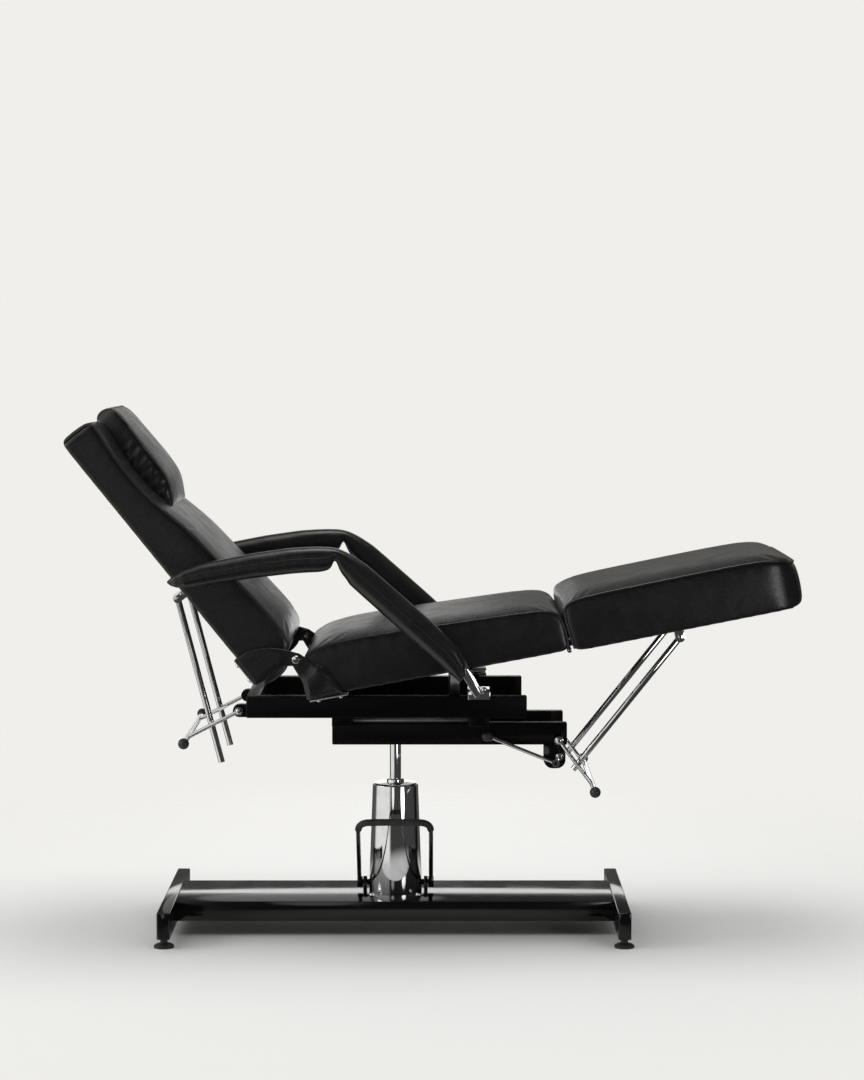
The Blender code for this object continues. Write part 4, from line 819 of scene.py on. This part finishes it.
# Each body's pieces, with their finish and the width of their broken edges
RIGID = {
    "base": [("base_deck", "paint", 0.002), ("cross_foot_front", "paint", 0.0015),
             ("cross_foot_rear", "paint", 0.0015), ("pump_cover", "chrome", 0.0012),
             ("pump_body", "steel", 0.0), *pair("pedal_bearing", "paint", 0.0008)],
    "pedal": [("pedal_frame", "paint", 0.0), ("pedal_grip", "rubber", ROUNDED)],
    "ram": [("ram", "chrome", 0.0008)],
    "carriage": [("mount_plate", "steel", 0.001), ("lower_frame", "satin", 0.0012),
                 ("bearer_front", "satin", 0.0012), ("bearer_rear", "satin", 0.0012),
                 ("upper_frame", "satin", 0.0012), ("lever_bracket", "paint", 0.001),
                 ("seat_riser", "satin", 0.001), ("seat_leaf", "chrome", 0.0006),
                 *pair("arm_bracket", "chrome", 0.0010), *pair("hinge_bolt", "chrome", 0.0006)],
    "lock_lever": [("lock_lever", "chrome", 0.0), ("lock_knob", "plastic", ROUNDED)],
    "back": [*pair("back_rod_bracket", "chrome", 0.0004), *pair("arm_stud", "steel", 0.0004)],
    "back_rods": pair("back_rod", "chrome", 0.0004),
    "rear_handle": [("rear_handle", "chrome", 0.0), *pair("rear_knob", "plastic", ROUNDED)],
    "leg_rest": [("leg_leaf", "chrome", 0.0006), *pair("leg_rod_bracket", "chrome", 0.0004)],
    "leg_rods": pair("leg_rod", "chrome", 0.0004),
    "front_handle": [("front_handle", "chrome", 0.0), *pair("front_knob", "plastic", ROUNDED)],
}
for end in ("rear", "front"):
    for label, side in SIDES:
        foot = "level_foot_%s_%s" % (end, label)
        RIGID[foot] = [(foot, "rubber", 0.0006)]


def rigid(node, body, finish, edge):
    """A rigid piece with its flats joined up, its edges broken and its round faces smooth."""
    piece = copy_of(node + "_finished", node)
    if edge == ROUNDED:
        edit(piece, bpy.ops.mesh.tris_convert_to_quads)
        apply(piece, "SUBSURF", levels=2, render_levels=2)
    else:
        edit(piece, lambda: bpy.ops.mesh.dissolve_limited(angle_limit=math.radians(0.8)))
    if edge > 0:
        apply(piece, "BEVEL", width=edge, segments=2, limit_method="ANGLE", angle_limit=math.radians(38))
    bpy.ops.object.shade_smooth_by_angle(angle=ROUND_FACES)
    dress(piece, finish)
    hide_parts(node)
    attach(piece, body)


def open_front(node, front, clear):
    """Takes the front cross tube out of a frame's finished piece, so that its rails end free."""
    piece = bpy.data.objects[node + "_finished"]
    room = started("room", bpy.ops.mesh.primitive_cube_add, size=1.0)
    room.data.transform(Matrix.Translation((PUMP_X + front, 0.0, ROOM_Z))
                        @ Matrix.Diagonal((ROOM_LENGTH, clear * 2, ROOM_HEIGHT, 1.0)))
    apply(piece, "BOOLEAN", object=room, operation="DIFFERENCE", solver="EXACT")
    bpy.data.objects.remove(room)
    only(piece)
    bpy.ops.object.shade_smooth_by_angle(angle=ROUND_FACES)


for body, pieces in RIGID.items():
    for node, finish, edge in pieces:
        rigid(node, body, finish, edge)
open_front("lower_frame", LOWER_FRONT, LOWER_HALF - FRAME_TUBE)
open_front("upper_frame", UPPER_FRONT, UPPER_HALF - FRAME_TUBE)


# Hinge ears

HINGE = Vector((HINGE_X, 0.0, HINGE_Z))
EAR_OUTER_Y = 0.3024
EAR_VOXEL = 0.0018
RIM_RUN = 0.013                # from the rim to the full fill
HINGE_RUN = 0.018              # from the hinge's clear ring to the full fill
CUFF_X, CUFF_Z = PUMP_X - 0.2717, 0.6418
CUFF_HALF, CUFF_THICK = 0.034, 0.0105
CUFF_POINTS = 48
# Sections of a cuff from its inner end: y, and size
CUFF_RINGS = ((0.2948, 0.86), (0.2956, 1.0), (0.3008, 1.0), (0.3021, 0.94), (0.3017, 0.85), (0.2990, 0.76),
              (0.2972, 0.70))


def ear(node, body, label, side, puff, clear):
    """A leather-wrapped hinge plate, filled away from its rim; clear keeps the fill off the hinge."""
    piece = copy_of(node + label + "_wrapped", node + label)
    apply(piece, "REMESH", mode="VOXEL", voxel_size=EAR_VOXEL)
    apply(piece, "SMOOTH", factor=0.5, iterations=6)
    spots, arrows = points_of(piece), normals_of(piece)
    rim = spots[np.abs(arrows[:, 1]) < 0.5]
    inward = near_line(spots, [Vector(spot) for spot in rim[::3]])[0]
    from_hinge = np.linalg.norm(spots[:, ::2] - np.array(HINGE)[::2], axis=1)
    fill = np.clip(inward / RIM_RUN, 0, 1)
    fill = fill * fill * (3 - 2 * fill) * np.clip((from_hinge - clear) / HINGE_RUN, 0, 1)
    folds = 0.9 + 0.1 * np.sin(from_hinge * 95 + spots[:, 0] * 40)
    outside = np.clip(arrows[:, 1] * side * 2 - 0.8, 0, 1)
    spots[:, 1] += side * puff * fill * folds * outside
    spots[:, 1] = np.clip(spots[:, 1], -EAR_OUTER_Y, EAR_OUTER_Y)
    set_points(piece, spots)
    apply(piece, "SMOOTH", factor=0.4, iterations=2)
    bpy.ops.object.shade_smooth()
    dress(piece, "leather")
    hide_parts(node + label)
    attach(piece, body)


def cuff(label, side):
    """The open lip of the leather round the end of a back ear."""
    turns = np.linspace(0.0, 2 * math.pi, CUFF_POINTS, endpoint=False)
    rings = []
    for y, size in CUFF_RINGS:
        middle = Vector((CUFF_X, side * y, CUFF_Z))
        thick = CUFF_THICK - CUFF_HALF * (1 - size) * 0.6
        rings.append([middle + BACK.out * (CUFF_HALF * size * math.cos(turn))
                      + BACK.along * (thick * math.sin(turn)) for turn in turns])
    piece = skinned("back_ear_cuff_" + label, rings)
    only(piece)
    bpy.ops.object.shade_smooth_by_angle(angle=math.radians(50))
    dress(piece, "leather")
    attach(piece, "back")


for label, side in SIDES:
    ear("seat_ear_", "carriage", label, side, puff=0.0070, clear=0.036)
    ear("back_ear_", "back", label, side, puff=0.0024, clear=0.020)
    cuff(label, side)


# Small fittings

WASHER_HALF = 0.12             # half a washer's thickness, in radii of the bolt head
WASHER_REACH = 1.35
WASHER_EDGE = 0.08
HEXAGON = 6
HEXAGON_EDGE, DOME_EDGE = 0.18, 0.85    # rounding at the top, in heights
# Handle pivots, the lock lever's bolt and the ring of bolts round the pump
REAR_PIVOT, FRONT_PIVOT = (PUMP_X - 0.365, 0.540), (PUMP_X + 0.386, 0.4705)
PIVOT_Y = 0.1772
LEVER_BOLT = (PUMP_X + 0.389, -0.1285, 0.4260)
DECK_RING, DECK_TOP = 0.078, 0.083
# Straps under the hinge ears: start and end along the section, lower and upper face
SEAT_STRAP = (0.006, 0.094, -0.0062, -0.0034)
BACK_STRAP = (0.638, 0.710, -0.0142, -0.0114)
STRAP_INNER_Y, STRAP_OUTER_Y = 0.246, 0.3015
STRAP_BOLT_Y = 0.284
SEAT_STRAP_BOLTS, BACK_STRAP_BOLTS = (0.026, 0.078), (0.652, 0.696)
BLOCK_BOLT_X, BLOCK_BOLT_Y, BLOCK_TOP = (0.184, 0.209), 0.255, 0.6008
LEAF_SCREW_Y, LEAF_FACE = (-0.17, -0.06, 0.06, 0.17), -0.0043
SEAT_LEAF_SCREWS, LEG_LEAF_SCREWS = 0.580, 0.030


def pick(piece, test):
    """Selects the faces that pass a test, and only those."""
    only(piece)
    scene.tool_settings.mesh_select_mode = (False, False, True)
    for polygon in piece.data.polygons:
        polygon.select = test(polygon)
    for edge in piece.data.edges:
        edge.select = False
    for vertex in piece.data.vertices:
        vertex.select = False


def round_top(piece, edge, segments):
    """Rounds the upper rim of a cylinder."""
    bpy.ops.object.transform_apply()
    pick(piece, lambda face: face.normal.z > 0.9)
    bpy.ops.object.mode_set(mode="EDIT")
    bpy.ops.mesh.bevel(offset=edge, segments=segments, affect="EDGES")
    bpy.ops.object.mode_set(mode="OBJECT")


def bolt_head(sides, radius, height):
    """A bolt head on its washer, standing on the ground plane: six sides, or a dome with more."""
    rise = radius * WASHER_HALF
    head = started("bolt_head", bpy.ops.mesh.primitive_cylinder_add, vertices=sides, radius=radius,
                   depth=height, location=(0.0, 0.0, height / 2 + rise))
    edge = height * (HEXAGON_EDGE if sides == HEXAGON else DOME_EDGE)
    round_top(head, edge, 2 if sides == HEXAGON else 5)
    washer = started("washer", bpy.ops.mesh.primitive_cylinder_add, vertices=28,
                     radius=radius * WASHER_REACH, depth=rise * 2, location=(0.0, 0.0, rise))
    round_top(washer, radius * WASHER_EDGE, 2)
    piece = join([head, washer], "bolt_pattern")
    bpy.ops.object.shade_smooth_by_angle(angle=math.radians(30))
    return piece


def bolts(name, pattern, spots, body, finish):
    """Copies of a bolt, each with its washer on a spot and pointing the way given."""
    copies = []
    for spot, way in spots:
        turn = Vector((0.0, 0.0, 1.0)).rotation_difference(Vector(way)).to_matrix().to_4x4()
        mesh = pattern.data.copy()
        mesh.transform(Matrix.Translation(spot) @ turn)
        copy = bpy.data.objects.new(name, mesh)
        bpy.context.collection.objects.link(copy)
        copies.append(copy)
    piece = join(copies, name)
    dress(piece, finish)
    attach(piece, body)


def strip(name, slant, start, end, low, high, y_from, y_to, body, finish, edge=0.0007):
    """A flat bar on a section, with its edges broken."""
    piece = started(name, bpy.ops.mesh.primitive_cube_add, size=1.0)
    frame_turn = Matrix((slant.along, (0.0, 1.0, 0.0), slant.out)).transposed().to_4x4()
    middle = slant.at((start + end) / 2, (low + high) / 2, (y_from + y_to) / 2)
    size = Matrix.Diagonal((end - start, abs(y_to - y_from), high - low, 1.0))
    piece.data.transform(Matrix.Translation(middle) @ frame_turn @ size)
    edit(piece, lambda: bpy.ops.mesh.bevel(offset=edge, segments=2, affect="EDGES"))
    bpy.ops.object.shade_smooth_by_angle(angle=ROUND_FACES)
    dress(piece, finish)
    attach(piece, body)


def fittings():
    dome = bolt_head(sides=24, radius=0.0058, height=0.0046)
    small = bolt_head(sides=20, radius=0.0036, height=0.0030)
    hexagon = bolt_head(sides=HEXAGON, radius=0.0064, height=0.0046)
    wide = bolt_head(sides=24, radius=0.0074, height=0.0052)

    for name, (x, z) in (("rear_pivot_bolts", REAR_PIVOT), ("front_pivot_bolts", FRONT_PIVOT)):
        spots = [((x, side * PIVOT_Y, z), (0, side, 0)) for label, side in SIDES]
        bolts(name, wide, spots, "carriage", "chrome")

    bolts("lever_bracket_bolt", hexagon, [(LEVER_BOLT, (0, -1, 0))], "carriage", "chrome")
    ring = [((PUMP_X + DECK_RING * math.cos(turn), DECK_RING * math.sin(turn), DECK_TOP), (0, 0, 1))
            for turn in np.radians((45, 135, 225, 315))]
    bolts("deck_bolts", dome, ring, "base", "chrome")

    seat_spots, back_spots = [], []
    for label, side in SIDES:
        across = (side * STRAP_INNER_Y, side * STRAP_OUTER_Y)
        strip("seat_ear_strap_" + label, SEAT, *SEAT_STRAP, *across, "carriage", "steel")
        strip("back_ear_strap_" + label, BACK, *BACK_STRAP, *across, "back", "steel")
        for along in SEAT_STRAP_BOLTS:
            seat_spots.append((SEAT.at(along, SEAT_STRAP[2], side * STRAP_BOLT_Y), -SEAT.out))
        for along in BACK_STRAP_BOLTS:
            back_spots.append((BACK.at(along, BACK_STRAP[2], side * STRAP_BOLT_Y), -BACK.out))
    bolts("seat_ear_bolts", dome, seat_spots, "carriage", "chrome")
    bolts("back_ear_bolts", dome, back_spots, "back", "chrome")

    spots = [((PUMP_X + x, side * BLOCK_BOLT_Y, BLOCK_TOP), (0, 0, 1))
             for x in BLOCK_BOLT_X for label, side in SIDES]
    bolts("arm_bracket_bolts", dome, spots, "carriage", "chrome")
    spots = [(SEAT.at(SEAT_LEAF_SCREWS, LEAF_FACE, y), -SEAT.out) for y in LEAF_SCREW_Y]
    bolts("seat_leaf_screws", small, spots, "carriage", "chrome")
    spots = [(LEG.at(LEG_LEAF_SCREWS, LEAF_FACE, y), -LEG.out) for y in LEAF_SCREW_Y]
    bolts("leg_leaf_screws", small, spots, "leg_rest", "chrome")

    for pattern in (dome, small, hexagon, wide):
        bpy.data.objects.remove(pattern)


fittings()


# Undersides

UNDERSIDE_HALF = 0.262
UNDERSIDE_SUNK, UNDERSIDE_PROUD = 0.003, 0.0006


def underside(name, slant, start, end, face, body):
    """The black panel stapled over a section's underside, inside the leather's turned edge."""
    strip(name, slant, start, end, face - UNDERSIDE_PROUD, face + UNDERSIDE_SUNK,
          -UNDERSIDE_HALF, UNDERSIDE_HALF, body, "plywood", edge=0.0004)


underside("seat_underside", SEAT, start=0.020, end=0.600, face=0.0, body="carriage")
underside("leg_underside", LEG, start=0.024, end=0.515, face=0.0, body="leg_rest")
underside("back_underside", BACK, start=0.022, end=0.688, face=-0.008, body="back")


# Studio

BACKDROP = (0.871, 0.862, 0.831)
# Name, place, aim, width, height and power
LAMPS = (("top", (0.1, 0.1, 3.4), (0.1, 0.0, 0.6), 2.0, 2.0, 34.0),
         ("left", (-4.2, -1.2, 2.2), (0.0, 0.0, 0.7), 1.8, 1.8, 34.0),
         ("right", (2.7, -3.8, 0.60), (0.5, 0.0, 0.7), 1.4, 1.4, 24.0),
         ("near", (-1.15, -5.2, 0.85), (-0.5, 0.0, 0.95), 1.1, 1.1, 3.0),
         ("rear", (-0.50, 2.6, 1.36), (-0.60, 0.0, 1.0), 1.2, 1.2, 1.6),
         ("low", (-0.05, 2.6, 0.55), (-0.05, 0.0, 0.30), 2.2, 0.50, 3.4))
CAMERA_PLACE = (PUMP_X + 0.088, -7.20, 1.400)
CAMERA_DOWN = 3.725            # degrees below level
CAMERA_LENS = 100.4
FLOOR_RADIUS = 2.7


def backdrop():
    """A pale room: plain to the camera, with dark cards for what gloss mirrors."""
    world = bpy.data.worlds.new("studio")
    scene.world = world
    world.use_nodes = True
    world.node_tree.nodes.clear()
    start = Shade(world.node_tree)
    ray = {name: start.node("ShaderNodeLightPath", {}, {}, "Is %s Ray" % name)
           for name in ("Camera", "Glossy", "Transmission")}
    aim = start.node("ShaderNodeTexCoord", {}, {}, "Generated")
    across, inward, height = (start.node("ShaderNodeSeparateXYZ", {}, {"Vector": aim}, axis)
                              for axis in "XYZ")
    flag = (across * 0.79 - inward * 0.62).between(0.10, 0.32)
    band = height.between(0.13, 0.18) * (1 - height.between(0.24, 0.34)) * 0.5
    shade = (1 - flag * 0.94) * (1 - inward.between(0.15, 0.45) * (1 - band) * 0.90)
    seen = start.node("ShaderNodeBackground", {}, {"Color": (*BACKDROP, 1.0), "Strength": 1.0})
    mirrored = start.node("ShaderNodeBackground", {}, {"Color": (*BACKDROP, 1.0), "Strength": shade})
    sky = (height * 0.75 + inward * 0.65).between(-0.35, 0.75) * 0.82 + 0.10
    lit = start.node("ShaderNodeBackground", {}, {"Color": (0.97, 0.98, 1.0, 1.0), "Strength": sky})
    shiny = ray["Glossy"].maths("MAXIMUM", ray["Glossy"], ray["Transmission"])
    mixed = start.node("ShaderNodeMixShader", {}, {0: shiny, 1: lit, 2: mirrored})
    mixed = start.node("ShaderNodeMixShader", {}, {0: ray["Camera"], 1: mixed, 2: seen})
    start.node("ShaderNodeOutputWorld", {}, {"Surface": mixed})


def studio_floor():
    """A matt disc that fades out into the backdrop, and sooner where gloss mirrors it."""
    floor_finish, start, place = new_material("studio_floor")
    tint = place.noise(40.0, 3.0).tint((0.86, 0.852, 0.82), (0.875, 0.866, 0.836))
    matt = start.node("ShaderNodeBsdfDiffuse", {}, {"Color": tint})
    clear = start.node("ShaderNodeBsdfTransparent", {}, {})
    span = place.node("ShaderNodeVectorMath", {"operation": "LENGTH"}, {0: place}, "Value")
    mirrored = start.node("ShaderNodeLightPath", {}, {}, "Is Glossy Ray")
    wide, close = span.between(0.9, 2.6), span.between(0.35, 0.95)
    faded = start.node("ShaderNodeMixShader", {}, {0: wide + (close - wide) * mirrored, 1: matt, 2: clear})
    start.node("ShaderNodeOutputMaterial", {}, {"Surface": faded})
    floor = started("studio_floor", bpy.ops.mesh.primitive_circle_add, vertices=96, radius=FLOOR_RADIUS,
                    fill_type="NGON")
    floor.data.materials.append(floor_finish)


def lamps():
    for name, place, target, wide, high, power in LAMPS:
        light = bpy.data.lights.new(name, "AREA")
        light.shape = "ELLIPSE"
        light.size = wide
        light.size_y = high
        light.energy = power
        lamp = bpy.data.objects.new(name, light)
        lamp.location = place
        lamp.rotation_euler = (Vector(target) - Vector(place)).to_track_quat("-Z", "Y").to_euler()
        bpy.context.collection.objects.link(lamp)


def photo_camera():
    view = bpy.data.cameras.new("photo_camera")
    view.sensor_fit = "VERTICAL"
    view.sensor_height = 36.0
    view.lens = CAMERA_LENS
    view.clip_end = 60.0
    camera = bpy.data.objects.new("photo_camera", view)
    camera.location = CAMERA_PLACE
    camera.rotation_euler = (math.radians(90 - CAMERA_DOWN), 0.0, 0.0)
    bpy.context.collection.objects.link(camera)
    scene.camera = camera


backdrop()
studio_floor()
lamps()
photo_camera()
scene.view_settings.view_transform = "Standard"
